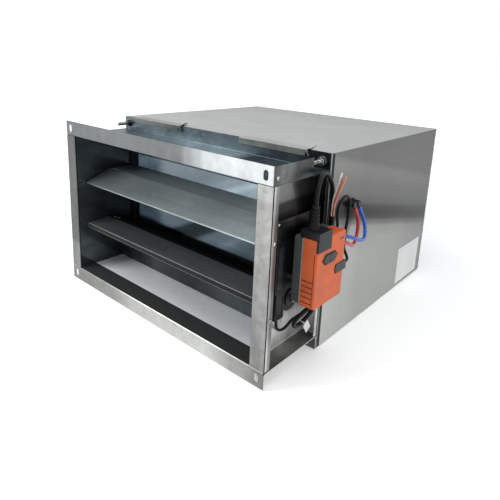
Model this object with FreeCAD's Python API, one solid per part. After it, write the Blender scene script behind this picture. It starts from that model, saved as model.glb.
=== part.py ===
import FreeCAD
import Part
import math
import os

# Rectangular variable air volume box: a damper section with two opposed blades, driven through
# gears by a compact actuator on the right wall, and a silencer section bolted behind it.
# Millimetres. X runs across the duct, Y along the air flow from the inlet face, Z up.
# The origin is the centre of the inlet opening, in the face of the front flange.

# Free opening of the duct, and the sheet metal round it
DUCT_WIDTH = 500.0
DUCT_HEIGHT = 300.0
FLANGE = 30.0
SHEET = 1.0
DAMPER_LENGTH = 150.0
TAB_LENGTH = 100.0
HEM_HEIGHT = 4.0
REAR_LIP = 8.0
SLOT_LENGTH = 16.0
SLOT_WIDTH = 9.0
SLOT_INSET = 15.0
EDGE_GAP = 2.5
EDGE_LIP = 11.0

# Stops that the closed blades lie against
STOP_HEIGHT = 40.0
STOP_FOOT = 18.0
STOP_CLEARANCE = 0.8

# Blades and axles
AXLE_TO_REAR = 66.0
AXLE_DIAMETER = 12.0
AXLE_LEFT_END = 5.0
BLADE_CHORD = 128.0
BLADE_THICKNESS = 28.0
BLADE_EDGE = 2.4
BLADE_RIDGE = 7.0
BLADE_SKIN = 0.8
BLADE_SIDE_GAP = 4.0
BLADE_END_CAP = 2.0
REST_ANGLE = 9.5
CLOSED_ANGLE = 60.0
SEAL_THICKNESS = 1.2
SEAL_DROP = 8.0
SEAL_GRIP = 9.0
RIVET_HEAD = 6.0
RIVET_HEIGHT = 1.4
RIVET_INSET = 10.0
RIVET_SPACING = 13.0

# Bushes in the side walls
BUSH_DIAMETER = 16.0
BUSH_FLANGE = 22.0
BUSH_FLANGE_THICKNESS = 2.0
RUNNING_CLEARANCE = 0.05
END_CLEARANCE = 0.3

# Gears on the right wall
GEAR_MODULE = 2.0
GEAR_TEETH = 19
GEAR_WIDTH = 7.0
GEAR_SIDE_CLEARANCE = 0.5
GEAR_TIP_CLEARANCE = 1.0
GEAR_BACKLASH = 0.3
GEAR_PRESSURE_ANGLE = 20.0
GEAR_HUB_DIAMETER = 22.0
GEAR_WEB_RECESS = 1.5
GEAR_RIM = 3.0
IDLER_PIN_DIAMETER = 8.0
SPINDLE_DIAMETER = 10.0

# Moulded housing round the gears
HOUSING_FLOOR = 2.0
HOUSING_ROOF = 2.0
HOUSING_WALL = 2.0
HOUSING_CHAMFER = 0.8
SIDE_BOX_REACH = 42.0
SIDE_BOX_TOP = 52.0
SIDE_BOX_BOTTOM = -40.0
PLUG_BOX_NEAR = 38.0
PLUG_BOX_FAR = 16.0
PLUG_BOX_BOTTOM = -88.0
POINTER_LENGTH = 9.0
POINTER_SLOT = 2.0
POINTER_HUB = 30.0
POINTER_HUB_HEIGHT = 3.0

# Actuator
ACTUATOR_WIDTH = 82.0
ACTUATOR_HEIGHT = 113.0
ACTUATOR_BASE_DEPTH = 16.5
ACTUATOR_COVER_DEPTH = 26.5
ACTUATOR_GAP = 17.5
ACTUATOR_BELOW_SPINDLE = 29.5
ACTUATOR_OFFSET = 16.5
ACTUATOR_CORNER = 3.0
BASE_INSET = 0.8
HUB_DIAMETER = 26.0
HUB_DEPTH = 8.0
CLAMP_WIDTH = 22.0
CLAMP_HEIGHT = 9.0
CLAMP_DEPTH = 7.0
CLAMP_BOLT_DIAMETER = 5.0
CLAMP_BOLT_SPACING = 16.0
CLAMP_BOLT_REACH = 17.0

# Cap over the actuator's terminals
CAP_WIDTH = 37.0
CAP_HEIGHT = 12.0
CAP_DEPTH = 34.0
CAP_FRONT_DROP = 19.0
CAP_FRONT_PROUD = 1.5
CAP_FRONT_THICKNESS = 4.0
CAP_CORNER = 2.0
RELIEF_LENGTH = 38.0
RELIEF_DIAMETER = 16.0
RELIEF_TIP_DIAMETER = 12.0
RELIEF_RIBS = 4
RELIEF_RIBBED_SHARE = 0.6
RELIEF_GROOVE_DEPTH = 1.5
RELIEF_BEHIND_FACE = 18.5
RELIEF_ALONG = 13.0

# Controls on the actuator's face
BUTTON_LENGTH = 46.0
BUTTON_HEIGHT = 18.0
BUTTON_POINT = 9.0
BUTTON_ALONG = 38.0
BUTTON_UP = 77.0
BUTTON_WELL = 9.0
BUTTON_FLOOR = 2.5
BUTTON_TRAVEL = 2.5
BUTTON_PROUD = 1.6
BUTTON_FRAME = 2.0
BUTTON_CLEARANCE = 0.3
TOOL_PLUG_LENGTH = 35.0
TOOL_PLUG_HEIGHT = 16.0
TOOL_PLUG_UP = 43.0
TOOL_PLUG_OVERHANG = 8.0
TOOL_PLUG_DEPTH = 10.0
TOOL_PLUG_PROUD = 1.5
TOOL_PLUG_CHAMFER = 2.5
GROOVE_DEPTH = 1.2
GROOVE_HEIGHT = 1.6
GROOVE_PITCH = 9.0
GROOVE_COUNT = 5
GROOVE_UP = 7.0
GROOVE_LENGTH = 20.0
EDGE_GROOVE_WIDTH = 1.6
EDGE_GROOVE_INSET = 4.0
MARK_LENGTH = 9.0
MARK_HEIGHT = 1.4
MARK_DEPTH = 0.8
MARK_DOWN = 11.0
MARK_INSET = 6.0

# Bracket that stops the actuator from turning
BRACKET_BOTTOM = 52.0
BRACKET_TOP = 86.0
BRACKET_FRONT = 16.0
BRACKET_REAR_SPACE = 8.0
BRACKET_THICKNESS = 2.0
BRACKET_STAND_OFF = 1.0
BRACKET_FOOT = 12.0
STUD_DIAMETER = 6.0
STUD_DROP = 10.0
STUD_DEPTH = 4.0

# Pressure spigots and sensing tubes
SPIGOT_DIAMETER = 4.5
SPIGOT_COLLAR = 8.0
SPIGOT_COLLAR_LENGTH = 2.0
SPIGOT_LENGTH = 8.0
SPIGOT_DEEP = 18.0
SPIGOT_UPPER = 90.0
SPIGOT_LOWER = 80.0
SENSOR_DIAMETER = 9.0
SENSOR_WALL = 1.2
SENSOR_HEIGHT = 80.0
SENSOR_FRONT_Y = 224.0
SENSOR_REAR_Y = 240.0
SENSOR_HOLE_DIAMETER = 2.5
SENSOR_HOLE_COUNT = 8
SENSOR_CUP_DIAMETER = 14.0
SENSOR_CUP_LENGTH = 10.0
FITTING_BASE = 14.0
FITTING_BASE_THICKNESS = 2.5
FITTING_BODY = 10.5
FITTING_REACH = 10.0
FITTING_SPIGOT = 10.0
FITTING_ANGLE = 40.0

# Silencer
GASKET_THICKNESS = 3.0
GASKET_WIDTH = 15.0
SILENCER_LENGTH = 480.0
FRAME_LIP = 7.0
PANEL_GAP = 2.0
WOOL_FRONT_SPACE = 20.0
WOOL_REAR_SPACE = 20.0

# Cleats over the joint, and the corner bolts
CLEAT_LENGTH = 150.0
CLEAT_CENTRE = 160.0
CLEAT_THICKNESS = 1.0
CLEAT_FRONT = 9.0
CLEAT_BACK = 18.0
CLEAT_DROP = 10.0
CLEAT_LEG = 9.0
TONGUE_LENGTH = 13.0
TONGUE_RISE = 7.0
TONGUE_WIDTH = 7.0
BOLT_DIAMETER = 8.0
BOLT_LENGTH = 32.0
BOLT_HEAD = 13.0
BOLT_HEAD_HEIGHT = 5.5
NUT_HEIGHT = 6.5
WASHER_DIAMETER = 17.0
WASHER_THICKNESS = 1.6
BOLT_HOLE = 9.0

# Small screws on the casing
SCREW_HEAD = 7.0
SCREW_HEIGHT = 2.4
EDGE_SCREW_HEIGHT = 63.0
TAB_SCREW_INSET = 8.0
TAB_SCREW_HEIGHT = 162.0

# Leads and tubes
SUPPLY_CABLE = 7.0
TOOL_CABLE = 5.0
CORE_DIAMETER = 2.2
TUBE_DIAMETER = 6.5
TAG_WIDTH = 14.0
TAG_LENGTH = 20.0
TAG_THICKNESS = 0.8
TIE_THICKNESS = 1.6
TIE_CLEARANCE = 0.35

# Planes and lengths that follow from the sizes above
half_width = DUCT_WIDTH / 2
half_height = DUCT_HEIGHT / 2
outer_width = half_width + FLANGE
outer_height = half_height + FLANGE
slot_x = outer_width - SLOT_INSET
slot_z = outer_height - SLOT_INSET
wall_x = half_width + SHEET
axle_y = DAMPER_LENGTH - AXLE_TO_REAR
bracket_rear = DAMPER_LENGTH - BRACKET_REAR_SPACE
gear_pitch = GEAR_MODULE * GEAR_TEETH
gear_tip = gear_pitch / 2 + GEAR_MODULE
upper_axle_z = 1.5 * gear_pitch
idler_z = 0.5 * gear_pitch
spindle_z = -idler_z
lower_axle_z = -upper_axle_z
gear_x0 = wall_x + HOUSING_FLOOR + GEAR_SIDE_CLEARANCE
gear_x1 = gear_x0 + GEAR_WIDTH
roof_x0 = gear_x1 + GEAR_SIDE_CLEARANCE
roof_x1 = roof_x0 + HOUSING_ROOF
base_x0 = roof_x1 + ACTUATOR_GAP
base_x1 = base_x0 + ACTUATOR_BASE_DEPTH
face_x = base_x1 + ACTUATOR_COVER_DEPTH
actuator_y0 = axle_y + ACTUATOR_OFFSET - ACTUATOR_WIDTH / 2
actuator_y1 = actuator_y0 + ACTUATOR_WIDTH
actuator_z0 = spindle_z - ACTUATOR_BELOW_SPINDLE
actuator_z1 = actuator_z0 + ACTUATOR_HEIGHT
blade_half = half_width - BLADE_SIDE_GAP
blade_skin_end = blade_half - BLADE_END_CAP
half_chord = BLADE_CHORD / 2
half_thickness = BLADE_THICKNESS / 2
half_edge = BLADE_EDGE / 2
frame_y0 = DAMPER_LENGTH + GASKET_THICKNESS
frame_y1 = frame_y0 + SHEET
outlet_y = frame_y0 + SILENCER_LENGTH

sensor_places = (SENSOR_FRONT_Y, SENSOR_REAR_Y)

V = FreeCAD.Vector


def block(x0, x1, y0, y1, z0, z1):
    return Part.makeBox(x1 - x0, y1 - y0, z1 - z0, V(x0, y0, z0))


def rod(diameter, start, end):
    axis = V(*end) - V(*start)
    return Part.makeCylinder(diameter / 2, axis.Length, V(*start), axis)


def plate_x(points, x0, x1):
    """A flat shape given in (y, z), from x0 to x1."""
    corners = [V(x0, y, z) for y, z in points]
    return Part.Face(Part.makePolygon(corners + corners[:1])).extrude(V(x1 - x0, 0, 0))


def plate_y(points, y0, y1):
    """A flat shape given in (x, z), from y0 to y1."""
    corners = [V(x, y0, z) for x, z in points]
    return Part.Face(Part.makePolygon(corners + corners[:1])).extrude(V(0, y1 - y0, 0))


def tube(outer, inner, start, end):
    return rod(outer, start, end).cut(rod(inner, start, end))


def upside_down(shape):
    return shape.mirror(V(0, 0, 0), V(0, 0, 1))


def left_to_right(shape):
    return shape.mirror(V(0, 0, 0), V(1, 0, 0))


def joined(shapes):
    return shapes[0].multiFuse(shapes[1:]).removeSplitter() if len(shapes) > 1 else shapes[0]


def save(name, shapes):
    shapes = shapes if isinstance(shapes, list) else [shapes]
    solids = [solid for shape in shapes for solid in shape.Solids]
    for solid in solids:
        if not solid.isValid() or solid.Volume <= 0:
            print("check the shape of", name)
    Part.makeCompound(solids).exportStep("parts/" + name + ".step")


def upright_slot(x, z, y0, y1):
    """A slot through a flange, longer along Z."""
    reach = (SLOT_LENGTH - SLOT_WIDTH) / 2
    middle = block(x - SLOT_WIDTH / 2, x + SLOT_WIDTH / 2, y0, y1, z - reach, z + reach)
    ends = [rod(SLOT_WIDTH, (x, y0, z + side * reach), (x, y1, z + side * reach)) for side in (-1, 1)]
    return middle.fuse(ends)


def hexagon_y(across, x, z, y0, y1):
    radius = across / math.sqrt(3)
    angles = [math.radians(30 + 60 * i) for i in range(6)]
    return plate_y([(x + radius * math.cos(a), z + radius * math.sin(a)) for a in angles], y0, y1)


bolt_places = [(side_x * slot_x, side_z * slot_z) for side_x in (-1, 1) for side_z in (-1, 1)]

# Top and bottom channels: a web and two flanges over the full width. The top one has a tab at
# its right end, cut short at the rear, and the bottom one a hem along each side of its web.
web = block(-outer_width, outer_width, 0, DAMPER_LENGTH, half_height, half_height + SHEET)
front_flange = block(-outer_width, outer_width, 0, SHEET, half_height, outer_height)
rear_flange = block(-outer_width, outer_width, DAMPER_LENGTH - SHEET, DAMPER_LENGTH,
                    half_height, outer_height)
end_tab = block(outer_width - SHEET, outer_width, 0, TAB_LENGTH, half_height, outer_height)
hem = block(outer_width - SHEET, outer_width, 0, DAMPER_LENGTH, half_height, half_height + HEM_HEIGHT)
top_channel = joined([web, front_flange, rear_flange, end_tab])
bottom_channel = joined([web, front_flange, rear_flange, hem, left_to_right(hem)])
for side in (-1, 1):
    hole = rod(BOLT_HOLE, (side * slot_x, DAMPER_LENGTH - 2 * SHEET, slot_z),
               (side * slot_x, DAMPER_LENGTH + SHEET, slot_z))
    corner_cuts = [upright_slot(side * slot_x, slot_z, -SHEET, 2 * SHEET), hole]
    top_channel = top_channel.cut(corner_cuts)
    bottom_channel = bottom_channel.cut(corner_cuts)
save("top_channel", top_channel)
save("bottom_channel", upside_down(bottom_channel))

# Side channels between them, with a lip behind the rear flange and holes for the bushes
side_web = block(half_width, wall_x, 0, DAMPER_LENGTH, -half_height, half_height)
side_front = block(half_width, outer_width, 0, SHEET, -half_height, half_height)
side_rear = block(half_width, outer_width, DAMPER_LENGTH - SHEET, DAMPER_LENGTH, -half_height, half_height)
side_lip = block(outer_width - SHEET, outer_width, DAMPER_LENGTH - SHEET - REAR_LIP, DAMPER_LENGTH,
                 -half_height, half_height)
side_channel = joined([side_web, side_front, side_rear, side_lip])
for axle_z in (lower_axle_z, upper_axle_z):
    hole = rod(BUSH_DIAMETER, (half_width - SHEET, axle_y, axle_z), (wall_x + SHEET, axle_y, axle_z))
    side_channel = side_channel.cut(hole)
save("left_channel", left_to_right(side_channel))
save("right_channel", side_channel)

# Angles behind the front flanges, whose lips cover the edges of the side channels
angle_y = SHEET + EDGE_GAP
angle_leg = block(wall_x, outer_width, angle_y, angle_y + SHEET, -half_height, half_height)
angle_lip = block(outer_width - SHEET, outer_width, angle_y, angle_y + EDGE_LIP, -half_height, half_height)
angle_hem = block(wall_x, wall_x + SHEET, SHEET, angle_y, -half_height, half_height)
edge_angle = joined([angle_leg, angle_lip, angle_hem])
save("left_edge_angle", left_to_right(edge_angle))
save("right_edge_angle", edge_angle)

edge_screws = []
for height in (-EDGE_SCREW_HEIGHT, EDGE_SCREW_HEIGHT):
    start = (outer_width, angle_y + EDGE_LIP / 2, height)
    edge_screws.append(rod(SCREW_HEAD, start, (outer_width + SCREW_HEIGHT, start[1], height)))
for screw in edge_screws[:]:
    edge_screws.append(left_to_right(screw))
edge_screws.append(rod(SCREW_HEAD, (outer_width, TAB_SCREW_INSET, TAB_SCREW_HEIGHT),
                       (outer_width + SCREW_HEIGHT, TAB_SCREW_INSET, TAB_SCREW_HEIGHT)))
save("casing_screws", edge_screws)


# Blade section, with the chord along Y at the fully open position. The face falls from the
# ridge over the axle to a thin edge at the front and at the rear.
def blade_profile(inset):
    half = half_chord - inset
    thick = half_thickness - inset
    edge = max(half_edge - inset, 0.2)
    slope = (half_thickness - half_edge) / half_chord
    shoulder = thick - slope * BLADE_RIDGE
    top = [(-half, edge), (-BLADE_RIDGE, shoulder), (BLADE_RIDGE, shoulder), (half, edge)]
    top_arc = Part.Arc(V(0, -BLADE_RIDGE, shoulder), V(0, 0, thick - slope * BLADE_RIDGE / 2),
                       V(0, BLADE_RIDGE, shoulder)).toShape()
    low_arc = Part.Arc(V(0, BLADE_RIDGE, -shoulder), V(0, 0, -thick + slope * BLADE_RIDGE / 2),
                       V(0, -BLADE_RIDGE, -shoulder)).toShape()
    runs = [
        Part.makeLine(V(0, -half, -edge), V(0, -half, edge)),
        Part.makeLine(V(0, -half, edge), V(0, *top[1])),
        top_arc,
        Part.makeLine(V(0, *top[2]), V(0, half, edge)),
        Part.makeLine(V(0, half, edge), V(0, half, -edge)),
        Part.makeLine(V(0, half, -edge), V(0, BLADE_RIDGE, -shoulder)),
        low_arc,
        Part.makeLine(V(0, -BLADE_RIDGE, -shoulder), V(0, -half, -edge)),
    ]
    return Part.Face(Part.Wire(runs))


def along_x(face, x0, x1):
    face = face.copy()
    face.translate(V(x0, 0, 0))
    return face.extrude(V(x1 - x0, 0, 0))


def set_blade(shape, axle_z, angle):
    """Turn a piece of a blade about its axle's line and lift it to the axle."""
    shape = shape.copy()
    shape.rotate(V(0, 0, 0), V(1, 0, 0), angle)
    shape.translate(V(0, axle_y, axle_z))
    return shape


axle_hole = rod(AXLE_DIAMETER, (-blade_half, 0, 0), (blade_half, 0, 0))
skin = along_x(blade_profile(0), -blade_skin_end, blade_skin_end)
skin = skin.cut(along_x(blade_profile(BLADE_SKIN), -blade_skin_end, blade_skin_end))
right_cap = along_x(blade_profile(0), blade_skin_end, blade_half).cut(axle_hole)
end_caps = [right_cap, left_to_right(right_cap)]
ridge_top = half_thickness - (half_thickness - half_edge) / half_chord * BLADE_RIDGE / 2
rivets = []
for side in (-1, 1):
    for step in (0, 1):
        rivet_x = side * (blade_skin_end - RIVET_INSET - step * RIVET_SPACING)
        rivets.append(rod(RIVET_HEAD, (rivet_x, 0, ridge_top), (rivet_x, 0, ridge_top + RIVET_HEIGHT)))
        rivets.append(rod(RIVET_HEAD, (rivet_x, 0, -ridge_top), (rivet_x, 0, -ridge_top - RIVET_HEIGHT)))
rivet_seat = along_x(blade_profile(0), -blade_skin_end, blade_skin_end)
rivets = [rivet.cut(rivet_seat) for rivet in rivets]

seal_face = block(-blade_skin_end, blade_skin_end, -half_chord - SEAL_THICKNESS, -half_chord,
                  -SEAL_DROP, half_edge)
slope = (half_thickness - half_edge) / half_chord
seal_grip = plate_x([(-half_chord, -half_edge), (-half_chord + SEAL_GRIP, -half_edge - slope * SEAL_GRIP),
                     (-half_chord + SEAL_GRIP, -half_edge - slope * SEAL_GRIP - SEAL_THICKNESS),
                     (-half_chord, -half_edge - SEAL_THICKNESS)], -blade_skin_end, blade_skin_end)
seal = joined([seal_face, seal_grip])

for name, axle_z, angle in (("lower", lower_axle_z, -REST_ANGLE), ("upper", upper_axle_z, REST_ANGLE)):
    save(name + "_blade", [set_blade(piece, axle_z, angle) for piece in [skin] + end_caps])
    save(name + "_blade_rivets", [set_blade(rivet, axle_z, angle) for rivet in rivets])
save("lower_blade_seal", set_blade(seal, lower_axle_z, -REST_ANGLE))

# Axles: the lower one comes out through the gear cover, with a slot that shows the blade's angle
axle_left_end = -wall_x - AXLE_LEFT_END
upper_axle = rod(AXLE_DIAMETER, (axle_left_end, axle_y, upper_axle_z), (gear_x1, axle_y, upper_axle_z))
pointer_x = roof_x1 + POINTER_LENGTH
lower_axle = rod(AXLE_DIAMETER, (axle_left_end, 0, 0), (pointer_x, 0, 0))
pointer_slot = block(pointer_x - POINTER_SLOT, pointer_x + POINTER_SLOT, -AXLE_DIAMETER, AXLE_DIAMETER,
                     -POINTER_SLOT / 2, POINTER_SLOT / 2)
save("upper_axle", upper_axle)
save("lower_axle", set_blade(lower_axle.cut(pointer_slot), lower_axle_z, -REST_ANGLE))


# Flanged bushes, from inside the duct through the walls
def bush(axle_z, length):
    sleeve = rod(BUSH_DIAMETER, (half_width, axle_y, axle_z), (half_width + length, axle_y, axle_z))
    collar_x = half_width - BUSH_FLANGE_THICKNESS
    collar = rod(BUSH_FLANGE, (collar_x, axle_y, axle_z), (half_width, axle_y, axle_z))
    bore = rod(AXLE_DIAMETER + 2 * RUNNING_CLEARANCE, (collar_x - BUSH_FLANGE_THICKNESS, axle_y, axle_z),
               (half_width + 2 * length, axle_y, axle_z))
    return sleeve.fuse(collar).cut(bore)


right_bush_length = SHEET + HOUSING_FLOOR
bushes = []
for axle_z in (lower_axle_z, upper_axle_z):
    bushes.append(bush(axle_z, right_bush_length))
    bushes.append(left_to_right(bush(axle_z, SHEET + AXLE_LEFT_END / 2)))
save("axle_bushes", bushes)


# Stops: a foot on the duct's floor or ceiling, and a leg that the closed blade's rear edge meets
def closed_face_y(height):
    """Where the closed lower blade's front face stands at a height above the lower axle."""
    angle = math.radians(CLOSED_ANGLE)
    along = (-height - half_thickness * math.cos(angle)) / (math.sin(angle) - slope * math.cos(angle))
    return axle_y + along * math.cos(angle) + math.sin(angle) * (slope * along - half_thickness)


stop_top = -half_height + STOP_HEIGHT
stop_y1 = closed_face_y(stop_top - lower_axle_z) - STOP_CLEARANCE
stop_leg = block(-half_width, half_width, stop_y1 - SHEET, stop_y1, -half_height, stop_top)
stop_foot = block(-half_width, half_width, stop_y1 - SHEET, stop_y1 + STOP_FOOT,
                  -half_height, -half_height + SHEET)
lower_stop = joined([stop_leg, stop_foot])
save("lower_stop", lower_stop)
save("upper_stop", upside_down(lower_stop))


# Gears: involute teeth, with a tooth at the top and a gap at the bottom, so that equal gears
# one above the other are in mesh
def gear_outline():
    pitch_radius = gear_pitch / 2
    pressure = math.radians(GEAR_PRESSURE_ANGLE)
    base_radius = pitch_radius * math.cos(pressure)
    root_radius = pitch_radius - 1.25 * GEAR_MODULE
    tip_radius = gear_tip - 0.1 * GEAR_MODULE
    half_tooth = math.pi / (2 * GEAR_TEETH) - GEAR_BACKLASH / 2 / pitch_radius

    def flank(radius):
        roll = math.acos(min(1.0, base_radius / radius))
        return half_tooth + (math.tan(pressure) - pressure) - (math.tan(roll) - roll)

    steps = [base_radius, pitch_radius, (pitch_radius + tip_radius) / 2, tip_radius]
    right_side = [(root_radius, flank(base_radius))] + [(radius, flank(radius)) for radius in steps]
    points = []
    for tooth in range(GEAR_TEETH):
        centre = math.pi / 2 + 2 * math.pi * tooth / GEAR_TEETH
        for radius, turn in right_side:
            points.append((radius * math.cos(centre - turn), radius * math.sin(centre - turn)))
        for radius, turn in reversed(right_side):
            points.append((radius * math.cos(centre + turn), radius * math.sin(centre + turn)))
    return points


gear_recess_outer = gear_pitch - 2.5 * GEAR_MODULE - 2 * GEAR_RIM


def gear(axle_z, bore, angle):
    wheel = plate_x(gear_outline(), gear_x0, gear_x1)
    recess = tube(gear_recess_outer, GEAR_HUB_DIAMETER, (gear_x1 - GEAR_WEB_RECESS, 0, 0), (gear_x1, 0, 0))
    wheel = wheel.cut(recess).cut(rod(bore, (gear_x0, 0, 0), (gear_x1, 0, 0)))
    wheel.rotate(V(0, 0, 0), V(1, 0, 0), angle)
    wheel.translate(V(0, axle_y, axle_z))
    return wheel


save("lower_gear", gear(lower_axle_z, AXLE_DIAMETER, 0))
save("drive_gear", gear(spindle_z, SPINDLE_DIAMETER, 0))
save("idler_gear", gear(idler_z, IDLER_PIN_DIAMETER + 2 * RUNNING_CLEARANCE, 0))
save("upper_gear", gear(upper_axle_z, AXLE_DIAMETER, 0))


# Gear housing: its outline is a slot round the four gears, with a box for the terminals at the
# front and a plug box under that
def stadium(radius, x0, x1):
    ends = [rod(2 * radius, (x0, axle_y, z), (x1, axle_y, z)) for z in (lower_axle_z, upper_axle_z)]
    middle = block(x0, x1, axle_y - radius, axle_y + radius, lower_axle_z, upper_axle_z)
    return middle.fuse(ends)


def housing_solid(inset, x0, x1):
    round_part = stadium(gear_tip + GEAR_TIP_CLEARANCE + HOUSING_WALL - inset, x0, x1)
    side_box = block(x0, x1, axle_y - SIDE_BOX_REACH + inset, axle_y,
                     SIDE_BOX_BOTTOM + inset, SIDE_BOX_TOP - inset)
    plug_box = block(x0, x1, axle_y - PLUG_BOX_NEAR + inset, axle_y - PLUG_BOX_FAR - inset,
                     PLUG_BOX_BOTTOM + inset, SIDE_BOX_BOTTOM + 2 * HOUSING_WALL)
    return round_part.fuse([side_box, plug_box]).removeSplitter()


cover_x0 = wall_x + HOUSING_FLOOR
housing_base = housing_solid(0, wall_x, cover_x0)
for axle_z in (lower_axle_z, upper_axle_z):
    hole = rod(BUSH_DIAMETER, (wall_x, axle_y, axle_z), (cover_x0, axle_y, axle_z))
    housing_base = housing_base.cut(hole)
idler_pin = rod(IDLER_PIN_DIAMETER, (wall_x, axle_y, idler_z), (roof_x0, axle_y, idler_z))
save("gear_housing_base", housing_base.fuse(idler_pin))

gear_cover = housing_solid(0, cover_x0, roof_x1)
roof_edges = [edge for edge in gear_cover.Edges
              if all(abs(vertex.X - roof_x1) < 0.01 for vertex in edge.Vertexes)]
gear_cover = gear_cover.makeChamfer(HOUSING_CHAMFER, roof_edges)
gear_cover = gear_cover.cut(stadium(gear_tip + GEAR_TIP_CLEARANCE, cover_x0, roof_x0))
box_room = block(cover_x0, roof_x0, axle_y - SIDE_BOX_REACH + HOUSING_WALL,
                 axle_y - gear_tip - GEAR_TIP_CLEARANCE - HOUSING_WALL,
                 SIDE_BOX_BOTTOM + HOUSING_WALL, SIDE_BOX_TOP - HOUSING_WALL)
gear_cover = gear_cover.cut(box_room)
hub = rod(POINTER_HUB, (roof_x1, axle_y, lower_axle_z),
          (roof_x1 + POINTER_HUB_HEIGHT, axle_y, lower_axle_z))
gear_cover = gear_cover.fuse(hub)
for axle_z, bore in ((lower_axle_z, AXLE_DIAMETER), (spindle_z, SPINDLE_DIAMETER)):
    gear_cover = gear_cover.cut(rod(bore + 2 * RUNNING_CLEARANCE, (roof_x0 - SHEET, axle_y, axle_z),
                                    (pointer_x, axle_y, axle_z)))
save("gear_cover", gear_cover)

# Spindle with the actuator's hub and clamp, which turn together
hub_x1 = base_x0 + HUB_DEPTH
clamp_x1 = base_x0 - END_CLEARANCE
clamp_x0 = clamp_x1 - CLAMP_DEPTH
spindle = rod(SPINDLE_DIAMETER, (gear_x0, axle_y, spindle_z), (hub_x1, axle_y, spindle_z))
save("drive_spindle", spindle)
output_hub = tube(HUB_DIAMETER, SPINDLE_DIAMETER, (clamp_x1, axle_y, spindle_z),
                  (hub_x1, axle_y, spindle_z))
jaw = block(clamp_x0, clamp_x1, axle_y - CLAMP_WIDTH / 2, axle_y + CLAMP_WIDTH / 2, spindle_z,
            spindle_z + CLAMP_HEIGHT)
jaw = jaw.cut(rod(SPINDLE_DIAMETER, (clamp_x0, axle_y, spindle_z), (clamp_x1, axle_y, spindle_z)))
clamp_middle = (clamp_x0 + clamp_x1) / 2
legs = []
for side in (-1, 1):
    leg_y = axle_y + side * CLAMP_BOLT_SPACING / 2
    leg_top = (clamp_middle, leg_y, spindle_z + CLAMP_BOLT_REACH)
    legs.append(rod(CLAMP_BOLT_DIAMETER, (clamp_middle, leg_y, spindle_z), leg_top))
bend = Part.makeTorus(CLAMP_BOLT_SPACING / 2, CLAMP_BOLT_DIAMETER / 2,
                      V(clamp_middle, axle_y, spindle_z), V(1, 0, 0))
lower_half = block(clamp_x0, clamp_x1, axle_y - CLAMP_WIDTH, axle_y + CLAMP_WIDTH,
                   spindle_z - CLAMP_WIDTH, spindle_z)
clamp_bolt = joined([bend.common(lower_half), legs[0], legs[1]])
save("clamp_bolt", clamp_bolt)
save("spindle_clamp", joined([output_hub, jaw.cut(clamp_bolt)]))


# Actuator: base and cover
def rounded_block(x0, x1, y0, y1, z0, z1, radius):
    """A block whose edges along X are rounded."""
    shape = block(x0, x1, y0, y1, z0, z1)
    edges = [edge for edge in shape.Edges if abs(edge.tangentAt(edge.FirstParameter).x) > 0.99]
    return shape.makeFillet(radius, edges)


base = rounded_block(base_x0, base_x1, actuator_y0 + BASE_INSET, actuator_y1 - BASE_INSET,
                     actuator_z0 + BASE_INSET, actuator_z1 - BASE_INSET, ACTUATOR_CORNER)
hub_room = rod(HUB_DIAMETER + 2 * RUNNING_CLEARANCE, (base_x0, axle_y, spindle_z),
               (hub_x1 + END_CLEARANCE, axle_y, spindle_z))
base = base.cut(hub_room)
stud_z = actuator_z1 - STUD_DROP
stud_y = actuator_y0 + ACTUATOR_WIDTH / 2
base = base.cut(rod(STUD_DIAMETER, (base_x0, stud_y, stud_z), (base_x0 + STUD_DEPTH, stud_y, stud_z)))

cover = rounded_block(base_x1, face_x, actuator_y0, actuator_y1, actuator_z0, actuator_z1,
                      ACTUATOR_CORNER)
cap_x1 = face_x + CAP_FRONT_PROUD
cap_x0 = cap_x1 - CAP_DEPTH
cap_panel = block(cap_x1 - CAP_FRONT_THICKNESS, cap_x1, actuator_y0, actuator_y0 + CAP_WIDTH,
                  actuator_z1 - CAP_FRONT_DROP, actuator_z1)
cover = cover.cut(cap_panel)
groove_x1 = face_x - EDGE_GROOVE_INSET
for index in range(GROOVE_COUNT):
    groove_z = actuator_z0 + GROOVE_UP + index * GROOVE_PITCH
    groove = block(groove_x1 - EDGE_GROOVE_WIDTH - GROOVE_LENGTH, groove_x1, actuator_y0,
                   actuator_y0 + GROOVE_DEPTH, groove_z, groove_z + GROOVE_HEIGHT)
    cover = cover.cut(groove)
edge_groove = block(groove_x1 - EDGE_GROOVE_WIDTH, groove_x1, actuator_y0, actuator_y0 + GROOVE_DEPTH,
                    actuator_z0 + ACTUATOR_CORNER, actuator_z1 - CAP_FRONT_DROP - ACTUATOR_CORNER)
cover = cover.cut(edge_groove)
mark_y1 = actuator_y1 - MARK_INSET
mark_z1 = actuator_z1 - MARK_DOWN
mark = block(face_x - MARK_DEPTH, face_x, mark_y1 - MARK_LENGTH, mark_y1, mark_z1 - MARK_HEIGHT, mark_z1)
cover = cover.cut(mark)

# Release button: a long six-sided key in a frame, in a well of the cover
button_y = actuator_y0 + BUTTON_ALONG
button_z = actuator_z0 + BUTTON_UP


def key_outline(inset):
    half = BUTTON_LENGTH / 2 - inset * math.sqrt(2)
    high = BUTTON_HEIGHT / 2 - inset
    point = BUTTON_POINT - inset * (math.sqrt(2) - 1)
    shape = [(-half, 0), (-half + point, high), (half - point, high), (half, 0), (half - point, -high),
             (-half + point, -high)]
    return [(button_y + y, button_z + z) for y, z in shape]


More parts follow.
